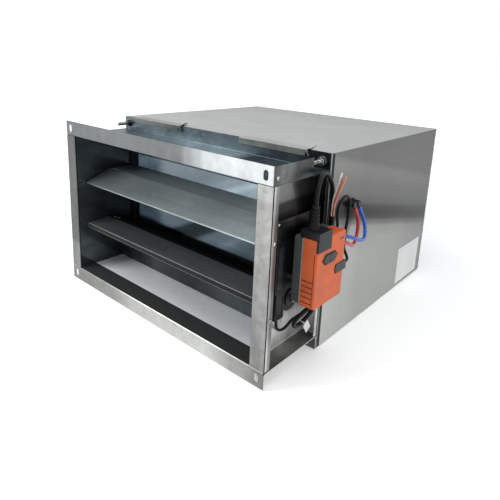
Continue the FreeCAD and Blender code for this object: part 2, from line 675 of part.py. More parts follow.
cover = cover.cut(plate_x(key_outline(0), face_x - BUTTON_WELL, face_x))
button_frame = plate_x(key_outline(0), face_x - BUTTON_WELL, face_x + BUTTON_PROUD / 2)
well_x0 = face_x - BUTTON_WELL + BUTTON_FLOOR
button_frame = button_frame.cut(plate_x(key_outline(BUTTON_FRAME), well_x0, face_x + BUTTON_PROUD))
key_x0 = well_x0 + BUTTON_TRAVEL + END_CLEARANCE
key = plate_x(key_outline(BUTTON_FRAME + BUTTON_CLEARANCE), key_x0, face_x + BUTTON_PROUD)
save("release_frame", button_frame)
save("release_button", key)

# Tool plug at the edge of the cover
plug_y1 = actuator_y1 + TOOL_PLUG_OVERHANG
plug_y0 = plug_y1 - TOOL_PLUG_LENGTH
plug_z0 = actuator_z0 + TOOL_PLUG_UP
plug_z1 = plug_z0 + TOOL_PLUG_HEIGHT
plug_x1 = face_x + TOOL_PLUG_PROUD
plug_x0 = plug_x1 - TOOL_PLUG_DEPTH
plug_outline = [(plug_y0 + TOOL_PLUG_CHAMFER, plug_z0), (plug_y1, plug_z0),
                (plug_y1, plug_z1 - TOOL_PLUG_CHAMFER), (plug_y1 - TOOL_PLUG_CHAMFER, plug_z1),
                (plug_y0 + TOOL_PLUG_CHAMFER, plug_z1), (plug_y0, (plug_z0 + plug_z1) / 2)]
tool_plug = plate_x(plug_outline, plug_x0, plug_x1)
cover = cover.cut(tool_plug)
save("tool_plug", tool_plug)

# Pressure spigots on the actuator's rear side
spigot_x = face_x - SPIGOT_DEEP
spigot_y = actuator_y1 + SPIGOT_LENGTH
spigots = []
for height in (SPIGOT_LOWER, SPIGOT_UPPER):
    spigot_z = actuator_z0 + height
    root = (spigot_x, actuator_y1, spigot_z)
    collar = rod(SPIGOT_COLLAR, root, (spigot_x, actuator_y1 + SPIGOT_COLLAR_LENGTH, spigot_z))
    stub = rod(SPIGOT_DIAMETER, root, (spigot_x, spigot_y, spigot_z))
    spigots.append(collar.fuse(stub))
save("actuator_base", base)
save("actuator_cover", cover.fuse(spigots))

# Terminal cap with the strain relief of the supply cable
cap_top = rounded_block(cap_x0, cap_x1, actuator_y0, actuator_y0 + CAP_WIDTH,
                        actuator_z1, actuator_z1 + CAP_HEIGHT, CAP_CORNER)
save("terminal_cap", joined([cap_top, cap_panel]))
relief_x = cap_x1 - RELIEF_BEHIND_FACE
relief_y = actuator_y0 + RELIEF_ALONG
relief_z0 = actuator_z1 + CAP_HEIGHT
relief_z1 = relief_z0 + RELIEF_LENGTH
relief = Part.makeCone(RELIEF_DIAMETER / 2, RELIEF_TIP_DIAMETER / 2, RELIEF_LENGTH,
                       V(relief_x, relief_y, relief_z0))
rib_pitch = RELIEF_LENGTH * RELIEF_RIBBED_SHARE / RELIEF_RIBS
for index in range(RELIEF_RIBS):
    ring_z = relief_z1 - (index + 1) * rib_pitch
    ring = tube(2 * RELIEF_DIAMETER, RELIEF_TIP_DIAMETER - RELIEF_GROOVE_DEPTH,
                (relief_x, relief_y, ring_z), (relief_x, relief_y, ring_z + rib_pitch / 3))
    relief = relief.cut(ring)
save("strain_relief", relief)

# Anti-turn bracket: a bar on two feet across the recess, and the stud that holds the actuator
bar_x0 = roof_x1 + BRACKET_STAND_OFF
bar_x1 = bar_x0 + BRACKET_THICKNESS
front_leg_y = BRACKET_FRONT + BRACKET_THICKNESS
rear_leg_y = bracket_rear - BRACKET_THICKNESS
foot_x = wall_x + BRACKET_THICKNESS
bar = block(bar_x0, bar_x1, BRACKET_FRONT, bracket_rear, BRACKET_BOTTOM, BRACKET_TOP)
front_leg = block(wall_x, bar_x1, BRACKET_FRONT, front_leg_y, BRACKET_BOTTOM, BRACKET_TOP)
rear_leg = block(wall_x, bar_x1, rear_leg_y, bracket_rear, BRACKET_BOTTOM, BRACKET_TOP)
front_foot = block(wall_x, foot_x, BRACKET_FRONT, BRACKET_FRONT + BRACKET_FOOT, BRACKET_BOTTOM, BRACKET_TOP)
rear_foot = block(wall_x, foot_x, bracket_rear - BRACKET_FOOT, bracket_rear, BRACKET_BOTTOM, BRACKET_TOP)
stud = rod(STUD_DIAMETER, (bar_x0, stud_y, stud_z), (base_x0 + STUD_DEPTH, stud_y, stud_z))
save("actuator_bracket", joined([bar, front_leg, rear_leg, front_foot, rear_foot, stud]))

# Gasket between the sections
gasket = block(-half_width - GASKET_WIDTH, half_width + GASKET_WIDTH, DAMPER_LENGTH, frame_y0,
               -half_height - GASKET_WIDTH, half_height + GASKET_WIDTH)
duct_hole = block(-half_width, half_width, 0, 2 * outlet_y, -half_height, half_height)
gasket = gasket.cut(duct_hole)
for x, z in bolt_places:
    gasket = gasket.cut(rod(BOLT_HOLE, (x, DAMPER_LENGTH, z), (x, frame_y0, z)))
save("joint_gasket", gasket)


# Silencer: frames with side lips, a folded wrap, a base panel, liner sheets and wool boards
inner_x = outer_width - SHEET
inner_z = outer_height - SHEET


def end_frame(face_y0, lip_y0, lip_y1):
    face = block(-outer_width, outer_width, face_y0, face_y0 + SHEET, -inner_z, inner_z)
    lip = block(outer_width - SHEET, outer_width, lip_y0, lip_y1, -inner_z, inner_z)
    return joined([face, lip, left_to_right(lip)]).cut(duct_hole)


front_frame = end_frame(frame_y0, frame_y1, frame_y1 + FRAME_LIP)
for x, z in bolt_places:
    front_frame = front_frame.cut(rod(BOLT_HOLE, (x, frame_y0 - SHEET, z), (x, frame_y1 + SHEET, z)))
save("front_frame", front_frame)
rear_frame_y = outlet_y - SHEET
rear_frame = end_frame(rear_frame_y, rear_frame_y - FRAME_LIP, rear_frame_y)
for x, z in bolt_places:
    rear_frame = rear_frame.cut(upright_slot(x, z, rear_frame_y - SHEET, outlet_y + SHEET))
save("rear_frame", rear_frame)

panel_y0 = frame_y1 + FRAME_LIP + PANEL_GAP
panel_y1 = rear_frame_y - FRAME_LIP - PANEL_GAP
top_panel = block(-outer_width, outer_width, frame_y0, outlet_y, outer_height - SHEET, outer_height)
side_panel = block(outer_width - SHEET, outer_width, panel_y0, panel_y1, -outer_height, outer_height)
wrap = joined([top_panel, side_panel, left_to_right(side_panel)])
for sensor_y in sensor_places:
    hole = rod(SENSOR_DIAMETER, (inner_x - SHEET, sensor_y, SENSOR_HEIGHT),
               (outer_width + SHEET, sensor_y, SENSOR_HEIGHT))
    wrap = wrap.cut(hole)
save("silencer_wrap", wrap)
save("silencer_base", block(-inner_x, inner_x, frame_y0, outlet_y, -outer_height, -inner_z))

liner_y0 = frame_y1
liner_y1 = rear_frame_y
top_liner = block(-half_width, half_width, liner_y0, liner_y1, half_height, half_height + SHEET)
side_liner = block(half_width, wall_x, liner_y0, liner_y1, -half_height - SHEET, half_height + SHEET)
right_liner = side_liner
for sensor_y in sensor_places:
    hole = rod(SENSOR_DIAMETER, (half_width - SHEET, sensor_y, SENSOR_HEIGHT),
               (wall_x + SHEET, sensor_y, SENSOR_HEIGHT))
    right_liner = right_liner.cut(hole)
save("liner_top", top_liner)
save("liner_bottom", upside_down(top_liner))
save("liner_left", left_to_right(side_liner))
save("liner_right", right_liner)

wool_y0 = frame_y1 + WOOL_FRONT_SPACE
wool_y1 = rear_frame_y - WOOL_REAR_SPACE
wool_z = half_height + SHEET
wool_top = block(-inner_x, inner_x, wool_y0, wool_y1, wool_z, inner_z)
wool_side = block(wall_x, inner_x, wool_y0, wool_y1, -wool_z, wool_z)
wool_right = wool_side
for sensor_y in sensor_places:
    hole = rod(SENSOR_DIAMETER, (wall_x, sensor_y, SENSOR_HEIGHT), (inner_x, sensor_y, SENSOR_HEIGHT))
    wool_right = wool_right.cut(hole)
save("wool_top", wool_top)
save("wool_bottom", upside_down(wool_top))
save("wool_left", left_to_right(wool_side))
save("wool_right", wool_right)

# Sensing tubes across the duct, with cups on the left liner and fittings on the right side
fitting_x1 = outer_width + FITTING_REACH
fitting_turn = math.radians(FITTING_ANGLE)
fitting_end = SENSOR_HEIGHT - FITTING_SPIGOT * math.cos(fitting_turn)
fitting_back = FITTING_SPIGOT * math.sin(fitting_turn)
tube_x0 = -half_width + SHEET
sensors = []
for sensor_y, facing in ((SENSOR_FRONT_Y, -1), (SENSOR_REAR_Y, 1)):
    sensor = tube(SENSOR_DIAMETER, SENSOR_DIAMETER - 2 * SENSOR_WALL, (tube_x0, sensor_y, SENSOR_HEIGHT),
                  (outer_width, sensor_y, SENSOR_HEIGHT))
    for index in range(SENSOR_HOLE_COUNT):
        hole_x = -half_width + DUCT_WIDTH * (index + 0.5) / SENSOR_HOLE_COUNT
        sensor = sensor.cut(rod(SENSOR_HOLE_DIAMETER, (hole_x, sensor_y, SENSOR_HEIGHT),
                                (hole_x, sensor_y + facing * SENSOR_DIAMETER, SENSOR_HEIGHT)))
    sensors.append(sensor)
save("sensor_tubes", sensors)
cups = []
for sensor_y in sensor_places:
    cup = rod(SENSOR_CUP_DIAMETER, (-half_width, sensor_y, SENSOR_HEIGHT),
              (-half_width + SENSOR_CUP_LENGTH, sensor_y, SENSOR_HEIGHT))
    seat = rod(SENSOR_DIAMETER, (tube_x0, sensor_y, SENSOR_HEIGHT), (0, sensor_y, SENSOR_HEIGHT))
    cups.append(cup.cut(seat))
save("sensor_cups", cups)
fittings = []
for sensor_y in sensor_places:
    root = (outer_width, sensor_y, SENSOR_HEIGHT)
    collar = rod(FITTING_BASE, root, (outer_width + FITTING_BASE_THICKNESS, sensor_y, SENSOR_HEIGHT))
    body = rod(FITTING_BODY, root, (fitting_x1 + SPIGOT_COLLAR / 2, sensor_y, SENSOR_HEIGHT))
    stub = rod(SPIGOT_DIAMETER, (fitting_x1, sensor_y, SENSOR_HEIGHT),
               (fitting_x1, sensor_y + fitting_back, fitting_end))
    fittings.append(collar.fuse([body, stub]))
save("sensor_fittings", fittings)

# Cleats over the joint on the top and bottom, with a bent tongue at the outer end on the top
cleat_y0 = DAMPER_LENGTH - CLEAT_FRONT
cleat_y1 = DAMPER_LENGTH + CLEAT_BACK
hook_z = outer_height - CLEAT_DROP


def cleat(centre, tongue):
    x0 = centre - CLEAT_LENGTH / 2
    x1 = centre + CLEAT_LENGTH / 2
    top = block(x0, x1, cleat_y0, cleat_y1, outer_height, outer_height + CLEAT_THICKNESS)
    front = block(x0, x1, cleat_y0, cleat_y0 + CLEAT_THICKNESS, hook_z, outer_height + CLEAT_THICKNESS)
    hook = block(x0, x1, cleat_y0, DAMPER_LENGTH - SHEET, hook_z, hook_z + CLEAT_THICKNESS)
    leg = block(x0, x1, DAMPER_LENGTH, DAMPER_LENGTH + CLEAT_THICKNESS,
                outer_height - CLEAT_LEG, outer_height)
    pieces = [top, front, hook, leg]
    if tongue:
        rise = [(x1, outer_height), (x1, outer_height + CLEAT_THICKNESS),
                (x1 + TONGUE_LENGTH, outer_height + CLEAT_THICKNESS + TONGUE_RISE),
                (x1 + TONGUE_LENGTH, outer_height + TONGUE_RISE)]
        pieces.append(plate_y(rise, DAMPER_LENGTH, DAMPER_LENGTH + TONGUE_WIDTH))
        drop = [(x1, outer_height + CLEAT_THICKNESS), (x1, outer_height - CLEAT_THICKNESS),
                (x1 + TONGUE_RISE, hook_z - CLEAT_THICKNESS), (x1 + TONGUE_RISE, hook_z + CLEAT_THICKNESS)]
        pieces.append(plate_y(drop, cleat_y0, cleat_y0 + TONGUE_WIDTH))
    return joined(pieces)


cleats = []
for centre in (-CLEAT_CENTRE, CLEAT_CENTRE):
    cleats.append(cleat(centre, True))
    cleats.append(upside_down(cleat(centre, False)))
save("joint_cleats", cleats)

# Corner bolts: heads behind the silencer's frame, nuts and washers on the damper's flange
bolts = []
nuts = []
flange_y = DAMPER_LENGTH - SHEET
for x, z in bolt_places:
    shank = rod(BOLT_DIAMETER, (x, flange_y - BOLT_LENGTH + SHEET, z), (x, frame_y1, z))
    bolts.append(shank.fuse(hexagon_y(BOLT_HEAD, x, z, frame_y1, frame_y1 + BOLT_HEAD_HEIGHT)))
    washer_y = flange_y - WASHER_THICKNESS
    nuts.append(tube(WASHER_DIAMETER, BOLT_DIAMETER, (x, washer_y, z), (x, flange_y, z)))
    nut = hexagon_y(BOLT_HEAD, x, z, washer_y - NUT_HEIGHT, washer_y)
    nuts.append(nut.cut(rod(BOLT_DIAMETER, (x, washer_y - NUT_HEIGHT, z), (x, washer_y, z))))
save("corner_bolts", bolts)
save("corner_nuts", nuts)


# Leads and tubes: straight runs between the points, joined by arcs as large as the runs allow
def cord(name, diameter, points):
    points = [V(*point) for point in points]
    runs = [points[i + 1] - points[i] for i in range(len(points) - 1)]
    radii = []
    edges = []
    start = points[0]
    for index in range(1, len(points) - 1):
        before = runs[index - 1]
        after = runs[index]
        turn = before.getAngle(after)
        setback = 0.45 * min(before.Length, after.Length)
        radius = setback / math.tan(turn / 2)
        radii.append(radius)
        into = V(before).normalize()
        out = V(after).normalize()
        arc_start = points[index] - into * setback
        arc_end = points[index] + out * setback
        inward = (out - into).normalize()
        centre = points[index] + inward * math.hypot(setback, radius)
        middle = centre - inward * radius
        edges.append(Part.LineSegment(start, arc_start).toShape())
        edges.append(Part.Arc(arc_start, middle, arc_end).toShape())
        start = arc_end
    edges.append(Part.LineSegment(start, points[-1]).toShape())
    path = Part.Wire(edges)
    ring = Part.Wire(Part.makeCircle(diameter / 2, points[0], runs[0]))
    solid = path.makePipeShell([ring], True, False)
    expected = math.pi * diameter ** 2 / 4 * path.Length
    print("%s: length %.0f, least radius %.1f (%.1f diameters), volume %.4f of section times length"
          % (name, path.Length, min(radii), min(radii) / diameter, solid.Volume / expected))
    return solid


relief_tip = (relief_x, relief_y, relief_z1)
supply_cable = cord("supply_cable", SUPPLY_CABLE, [
    relief_tip, (306.5, 72.5, 132), (302, 85, 149), (296, 103, 157), (290, 123, 154), (286, 141, 143),
    (285, 154, 127), (284, 159, 108), (285, 158, 88), (285, 159, 68), (284, 159, 48), (285, 158, 28),
    (284, 158, 8), (285, 157, -12), (285, 156, -32), (284, 151, -51), (284, 143, -69), (283, 132, -86),
    (279, 118, -100), (276, 100, -109), (277, 82, -106), (282, 70, -92), (291, 71, -76), (299, 83, -64),
    (304, 101, -60), (305, 121, -61), (303, 139, -58), (299, 151, -44), (299, 153, -25), (297, 150, -5),
    (294, 148, 15), (293, 149, 36), (293, 148, 57), (293, 148, 77)])
core_white = cord("core_white", CORE_DIAMETER, [
    (291.7, 146.8, 77), (291.7, 146.7, 93), (292, 149, 109), (295, 153, 128), (299, 157, 150)])
core_red = cord("core_red", CORE_DIAMETER, [
    (294.3, 149.4, 77), (294.3, 149.3, 92), (296, 152, 107), (299, 158, 124), (302, 168, 143)])
core_black = cord("core_black", CORE_DIAMETER, [
    (291.7, 149.4, 77), (291.7, 149.3, 89), (292, 152, 101), (294, 158, 113), (297, 165, 127)])
core_brown = cord("core_brown", CORE_DIAMETER, [
    (294.3, 146.8, 77), (294.3, 146.7, 94), (297, 148, 110), (300, 151, 126), (302, 156, 142)])

plug_exit = ((plug_x0 + plug_x1) / 2, plug_y1, (plug_z0 + plug_z1) / 2)
terminal_x = (wall_x + roof_x1) / 2
terminal_y = axle_y - (PLUG_BOX_NEAR + PLUG_BOX_FAR) / 2
tool_cable = cord("tool_cable", TOOL_CABLE, [
    plug_exit, (320, 164, 2.5), (310, 177, 4), (299, 185, 12), (295, 194, 26), (293, 198, 42),
    (294, 200, 59), (295, 200, 76), (296, 199, 94), (297, 187, 106), (298, 169, 106), (298, 157, 94),
    (297, 156, 77),
    (298, 159, 61), (297, 160, 45), (298, 160, 29), (296, 160, 13), (293, 160, -3), (291, 158, -19),
    (291, 153, -34), (291, 146, -49), (289, 138, -62), (286, 128, -75), (280, 117, -85), (273, 107, -93),
    (266, 99, -100), (261, 92, -107), (259, 86, -113.5), (258, 77.5, -116.3), (257, 68.6, -115),
    (257, 61.3, -109.9), (257, 57, -102.1), (terminal_x, terminal_y, PLUG_BOX_BOTTOM)])

blue_tube = cord("blue_tube", TUBE_DIAMETER, [
    (spigot_x, spigot_y, actuator_z0 + SPIGOT_UPPER), (305.5, 165, 41.5), (310, 180, 37), (312, 195, 31),
    (312, 210, 24), (311, 226, 18), (309, 242, 16), (303, 256, 21), (297, 264, 34), (292, 263, 49),
    (290, 255.4, 61.6), (fitting_x1, SENSOR_REAR_Y + fitting_back, fitting_end)])
red_tube = cord("red_tube", TUBE_DIAMETER, [
    (spigot_x, spigot_y, actuator_z0 + SPIGOT_LOWER), (305.5, 165, 31.5), (306, 180, 25), (304, 196, 17),
    (301, 210, 10), (297, 226, 5), (293, 241, 11), (291, 249, 26), (291, 248, 43), (290, 240.7, 60),
    (fitting_x1, SENSOR_FRONT_Y + fitting_back, fitting_end)])
save("supply_cable", supply_cable)
save("supply_cores", [core_white, core_red, core_black, core_brown])
save("tool_cable", tool_cable)
save("blue_tube", blue_tube)
save("red_tube", red_tube)

# Bare tag tied to the lower loop of the supply cable
tie_place = V(277.5, 109, -104.5)
tie_line = V(-3, -18, -9)
tie_radius = (SUPPLY_CABLE + TIE_THICKNESS) / 2 + TIE_CLEARANCE
tie = Part.makeTorus(tie_radius, TIE_THICKNESS / 2, tie_place, tie_line)
tag_x0 = tie_place.x + tie_radius + TIE_THICKNESS / 2
tag = block(tag_x0, tag_x0 + TAG_THICKNESS, tie_place.y - TAG_WIDTH / 2, tie_place.y + TAG_WIDTH / 2,
            tie_place.z - TAG_LENGTH, tie_place.z)
save("cable_tag", [tie, tag])
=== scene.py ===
import bpy
import math
from mathutils import Matrix, Quaternion, Vector


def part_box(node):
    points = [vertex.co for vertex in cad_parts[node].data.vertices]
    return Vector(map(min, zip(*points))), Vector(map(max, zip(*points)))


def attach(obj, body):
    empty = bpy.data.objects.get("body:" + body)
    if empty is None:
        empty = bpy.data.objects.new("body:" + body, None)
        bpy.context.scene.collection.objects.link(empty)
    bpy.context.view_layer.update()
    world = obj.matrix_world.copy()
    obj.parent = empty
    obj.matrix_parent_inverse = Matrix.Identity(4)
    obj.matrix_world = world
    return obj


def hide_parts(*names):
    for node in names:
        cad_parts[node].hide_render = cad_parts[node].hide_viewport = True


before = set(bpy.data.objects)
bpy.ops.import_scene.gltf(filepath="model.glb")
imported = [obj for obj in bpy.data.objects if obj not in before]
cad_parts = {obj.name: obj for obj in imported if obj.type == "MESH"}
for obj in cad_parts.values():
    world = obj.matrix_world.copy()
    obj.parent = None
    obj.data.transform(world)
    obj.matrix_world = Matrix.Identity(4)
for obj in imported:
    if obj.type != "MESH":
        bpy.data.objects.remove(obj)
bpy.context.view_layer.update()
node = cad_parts
MM = 0.001

# Camera, lamps and floor
# The camera stands off the casing's right front corner, a little above its upper edge, and is
# turned a little, as the photograph was taken. Large soft lamps stand over and beside the box.
AZIMUTH = math.radians(39.99)
ELEVATION = math.radians(13.92)
ROLL = math.radians(2.48)
FOCAL_PIXELS = 470.6
PICTURE_PIXELS = 500
SENSOR_WIDTH = 36
looking = Vector((-math.sin(AZIMUTH) * math.cos(ELEVATION), math.cos(AZIMUTH) * math.cos(ELEVATION),
                  -math.sin(ELEVATION)))
bpy.ops.object.camera_add(location=(0.6619, -0.5082, 0.3242))
camera = bpy.context.object
camera.rotation_mode = "QUATERNION"
camera.rotation_quaternion = looking.to_track_quat("-Z", "Y") @ Quaternion((0, 0, 1), ROLL)
camera.data.lens = FOCAL_PIXELS / PICTURE_PIXELS * SENSOR_WIDTH
camera.data.shift_y = -0.15
camera.data.clip_start = 0.01
bpy.context.scene.camera = camera
bpy.context.scene.view_settings.view_transform = "Standard"


def soft_lamp(name, place, aim, size, power):
    bpy.ops.object.light_add(type="AREA", location=place)
    lamp = bpy.context.object
    lamp.name = name
    lamp.data.size = size
    lamp.data.energy = power
    lamp.rotation_euler = (Vector(aim) - Vector(place)).to_track_quat("-Z", "Y").to_euler()


soft_lamp("lamp_over", (0.3, -0.2, 1.7), (0.0, 0.25, 0.0), 1.6, 14)
soft_lamp("lamp_left", (-1.3, -1.5, 0.9), (0.0, 0.1, 0.0), 1.2, 36)
soft_lamp("lamp_right", (1.9, 0.1, 0.7), (0.2, 0.3, 0.0), 1.2, 8)


def add_node(tree, kind, operation=None, group=None, **inputs):
    """Add a shader node with its operation or its group, and set the inputs that are named."""
    item = tree.nodes.new("ShaderNode" + kind)
    if operation:
        item.operation = operation
    if group:
        item.node_tree = group
    for name, value in inputs.items():
        item.inputs[name.replace("_", " ")].default_value = value
    return item


def wire(tree, *runs):
    """Join nodes: each run names a node and its output, then the next node and its input."""
    for source, output, target, socket in runs:
        tree.links.new(source.outputs[output], target.inputs[socket])


def seen_directly(tree):
    """The share of a ray that sees the background: straight, by a reflection or through glass."""
    path = add_node(tree, "LightPath")
    first = add_node(tree, "Math", "MAXIMUM")
    second = add_node(tree, "Math", "MAXIMUM")
    wire(tree, (path, "Is Camera Ray", first, 0), (path, "Is Glossy Ray", first, 1),
         (first, "Value", second, 0), (path, "Is Transmission Ray", second, 1))
    return second


world = bpy.data.worlds.new("pale_room")
bpy.context.scene.world = world
world.use_nodes = True
room = world.node_tree
room.nodes.clear()
room_light = add_node(room, "Background", Color=(0.80, 0.83, 0.87, 1), Strength=0.5)
room_seen = add_node(room, "Background", Color=(1, 1, 1, 1), Strength=1.0)
room_mix = add_node(room, "MixShader")
wire(room, (seen_directly(room), "Value", room_mix, "Fac"), (room_light, "Background", room_mix, 1),
     (room_seen, "Background", room_mix, 2),
     (room_mix, "Shader", add_node(room, "OutputWorld"), "Surface"))

FLOOR_LEVEL = -0.1815
bpy.ops.mesh.primitive_plane_add(size=60, location=(0, 0, FLOOR_LEVEL))
floor = bpy.context.object
floor.name = "floor"
floor_paint = bpy.data.materials.new("pale_floor")
floor_paint.use_nodes = True
tree = floor_paint.node_tree
matt = tree.nodes["Principled BSDF"]
matt.inputs["Base Color"].default_value = (0.86, 0.86, 0.86, 1)
matt.inputs["Roughness"].default_value = 0.9
glow = add_node(tree, "Emission", Color=(1, 1, 1, 1))
reach = add_node(tree, "VectorMath", "LENGTH")
fade = add_node(tree, "MapRange", From_Min=0.7, From_Max=2.6, To_Min=0.35, To_Max=0.85)
both = add_node(tree, "AddShader")
floor_mix = add_node(tree, "MixShader")
wire(tree, (add_node(tree, "TexCoord"), "Object", reach, 0), (reach, "Value", fade, "Value"),
     (fade, "Result", glow, "Strength"), (matt, "BSDF", both, 0), (glow, "Emission", both, 1),
     (seen_directly(tree), "Value", floor_mix, "Fac"), (matt, "BSDF", floor_mix, 1),
     (both, "Shader", floor_mix, 2), (floor_mix, "Shader", tree.nodes["Material Output"], "Surface"))
floor.data.materials.append(floor_paint)


# Supply cable
# A black 7 mm lead out of the cap's strain relief, over in a high bend, down behind the actuator
# and round under it. Its far end is open for wiring, with four stripped cores.
def finish_group(name, inputs):
    """A new group with its inputs, which gives a colour, a roughness and a height."""
    group = bpy.data.node_groups.new(name, "ShaderNodeTree")
    for socket, kind in inputs:
        group.interface.new_socket(socket, in_out="INPUT", socket_type="NodeSocket" + kind)
    for socket, kind in (("Colour", "Color"), ("Roughness", "Float"), ("Height", "Float")):
        group.interface.new_socket(socket, in_out="OUTPUT", socket_type="NodeSocket" + kind)
    return group, group.nodes.new("NodeGroupInput"), group.nodes.new("NodeGroupOutput")


def mottle_group():
    """Soft blotches of tone and gloss with a fine grain, for plastics and rubber."""
    group, given, result = finish_group("plastic_mottle", [
        ("Colour", "Color"), ("Gloss Roughness", "Float"), ("Grain Scale", "Float"),
        ("Blotch Scale", "Float")])
    place = add_node(group, "TexCoord")
    grain = add_node(group, "TexNoise", Detail=3)
    blotch = add_node(group, "TexNoise", Detail=4)
    tone = add_node(group, "MapRange", From_Min=0.3, From_Max=0.7, To_Min=0.84, To_Max=1.12)
    shade = add_node(group, "VectorMath", "SCALE")
    gloss = add_node(group, "Math", "MULTIPLY")
    wire(group, (place, "Object", grain, "Vector"), (place, "Object", blotch, "Vector"),
         (given, "Grain Scale", grain, "Scale"), (given, "Blotch Scale", blotch, "Scale"),
         (blotch, "Fac", tone, "Value"), (given, "Colour", shade, 0), (tone, "Result", shade, "Scale"),
         (given, "Gloss Roughness", gloss, 0), (tone, "Result", gloss, 1),
         (shade, "Vector", result, "Colour"), (gloss, "Value", result, "Roughness"),
         (grain, "Fac", result, "Height"))
    return group


mottle = mottle_group()


def finish_of(name, group, relief, depth, specular, **inputs):
    """A material with the roughness and the relief of a group, and its shader and its pattern."""
    paint = bpy.data.materials.new(name)
    paint.use_nodes = True
    tree = paint.node_tree
    shader = tree.nodes["Principled BSDF"]
    shader.inputs["Specular IOR Level"].default_value = specular
    pattern = add_node(tree, "Group", group=group, **inputs)
    bump = add_node(tree, "Bump", Strength=relief, Distance=depth)
    wire(tree, (pattern, "Roughness", shader, "Roughness"), (pattern, "Height", bump, "Height"),
         (bump, "Normal", shader, "Normal"))
    return paint, shader, pattern


def moulded(name, colour, roughness, grain=900, blotch=35, relief=0.12, specular=0.5):
    """A plastic or rubber finish: its colour, its gloss and the grain of its mould."""
    paint, shader, spots = finish_of(name, mottle, relief, 0.4 * MM, specular, Colour=(*colour, 1),
                                     Gloss_Roughness=roughness, Grain_Scale=grain, Blotch_Scale=blotch)
    wire(paint.node_tree, (spots, "Colour", shader, "Base Color"))
    return paint


def laid_cord(name, points, diameter, finish, stands_for):
    """A cord along points in millimetres, as one smooth curve on the casing."""
    line = bpy.data.curves.new(name, "CURVE")
    line.dimensions = "3D"
    line.resolution_u = 10
    line.bevel_depth = diameter * MM / 2
    line.bevel_resolution = 5
    line.use_fill_caps = True
    spline = line.splines.new("NURBS")
    spline.points.add(len(points) - 1)
    for place, (x, y, z) in zip(spline.points, points):
        place.co = (x * MM, y * MM, z * MM, 1)
    spline.order_u = 3
    spline.use_endpoint_u = True
    piece = bpy.data.objects.new(name, line)
    bpy.context.scene.collection.objects.link(piece)
    piece.data.materials.append(finish)
    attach(piece, "casing_body")
    if stands_for:
        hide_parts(stands_for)
    return piece


sheath = moulded("black_sheath", (0.009, 0.009, 0.010), 0.40, grain=500, specular=0.12)
supply_cable = laid_cord("supply_cable_lead", [
    (306.5, 72.5, 114.5), (306.5, 72.5, 132), (302, 85, 149), (296, 103, 157), (290, 123, 154),
    (286, 141, 143), (285, 154, 127), (284, 159, 108), (285, 158, 88), (285, 159, 68), (284, 159, 48),
    (285, 158, 28), (284, 158, 8), (285, 157, -12), (285, 156, -32), (284, 151, -51), (284, 143, -69),
    (283, 132, -86), (279, 118, -100), (276, 100, -109), (277, 82, -106), (282, 70, -92), (291, 71, -76),
    (299, 83, -64), (304, 101, -60), (305, 121, -61), (303, 139, -58), (299, 151, -44), (299, 153, -25),
    (297, 150, -5), (294, 148, 15), (293, 149, 36), (293, 148, 57), (293, 148, 77)], 7, sheath,
    "supply_cable")
cores = [laid_cord("supply_core_" + name, points, 2.8, moulded("core_" + name, colour, 0.4), None) for name, colour, points in (
    ("white", (0.78, 0.74, 0.70), [(291.7, 146.8, 77), (291.7, 146.7, 93), (292, 149, 109),
                                   (295, 153, 128), (299, 157, 150)]),
    ("pink", (0.72, 0.22, 0.14), [(294.3, 149.4, 77), (294.3, 149.3, 92), (296, 152, 107),
                                  (299, 158, 124), (302, 168, 143)]),
    ("black", (0.02, 0.02, 0.02), [(291.7, 149.4, 77), (291.7, 149.3, 89), (292, 152, 101),
                                   (294, 158, 113), (297, 165, 127)]),
    ("brown", (0.34, 0.10, 0.05), [(294.3, 146.8, 77), (294.3, 146.7, 94), (297, 148, 110),
                                   (300, 151, 126), (302, 156, 142)]))]
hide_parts("supply_cores")


# Tool cable
# A thinner lead from the dark plug on the actuator's edge: up behind the casing's flange in a
# bend, down beside the supply cable, and up into the plug box of the gear cover.
tool_cable = laid_cord("tool_cable_lead", [
    (320, 149.5, 2.5), (320, 164, 2.5), (310, 177, 4), (299, 185, 12), (295, 194, 26), (293, 198, 42),
    (294, 200, 59), (295, 200, 76), (296, 199, 94), (297, 187, 106), (298, 169, 106), (298, 157, 94),
    (297, 156, 77), (298, 159, 61), (297, 160, 45), (298, 160, 29), (296, 160, 13), (293, 160, -3),
    (291, 158, -19), (291, 153, -34), (291, 146, -49), (289, 138, -62), (286, 128, -75), (280, 117, -85),
    (273, 107, -93), (266, 99, -100), (261, 92, -107), (259, 86, -113.5), (258, 77.5, -116.3),
    (257, 68.6, -115), (257, 61.3, -109.9), (257, 57, -102.1), (257, 57, -88)], 5, sheath, "tool_cable")


# Pressure tubes
# Two soft 6.5 mm tubes, blue and red, pushed over the actuator's spigots and over the stubs of
# the two fittings on the silencer's side.
blue_tube = laid_cord("blue_pressure_tube", [
    (305.5, 149.5, 41.5), (305.5, 165, 41.5), (310, 180, 37), (312, 195, 31), (312, 210, 24),
    (311, 226, 18), (309, 242, 16), (303, 256, 21), (297, 264, 34), (292, 263, 49), (290, 255.4, 61.6),
    (290, 246.43, 72.34)], 6.5, moulded("blue_hose", (0.008, 0.085, 0.50), 0.28), "blue_tube")
red_tube = laid_cord("red_pressure_tube", [
    (305.5, 149.5, 31.5), (305.5, 165, 31.5), (306, 180, 25), (304, 196, 17), (301, 210, 10),
    (297, 226, 5), (293, 241, 11), (291, 249, 26), (291, 248, 43), (290, 240.7, 60),
    (290, 230.43, 72.34)], 6.5, moulded("red_hose", (0.55, 0.014, 0.022), 0.28), "red_tube")


# Top and bottom channels
# Each is one sheet of zinc-coated steel, folded into a web with a front and a rear flange, as a
# tray over the duct. The top one has one end tab, at the right, and the bottom one has low hems
# at its ends. Both have bolt slots in the front corners and bolt holes in the rear ones.
CRYSTAL_SHARE = 0.22
STREAK_SHARE = 0.9


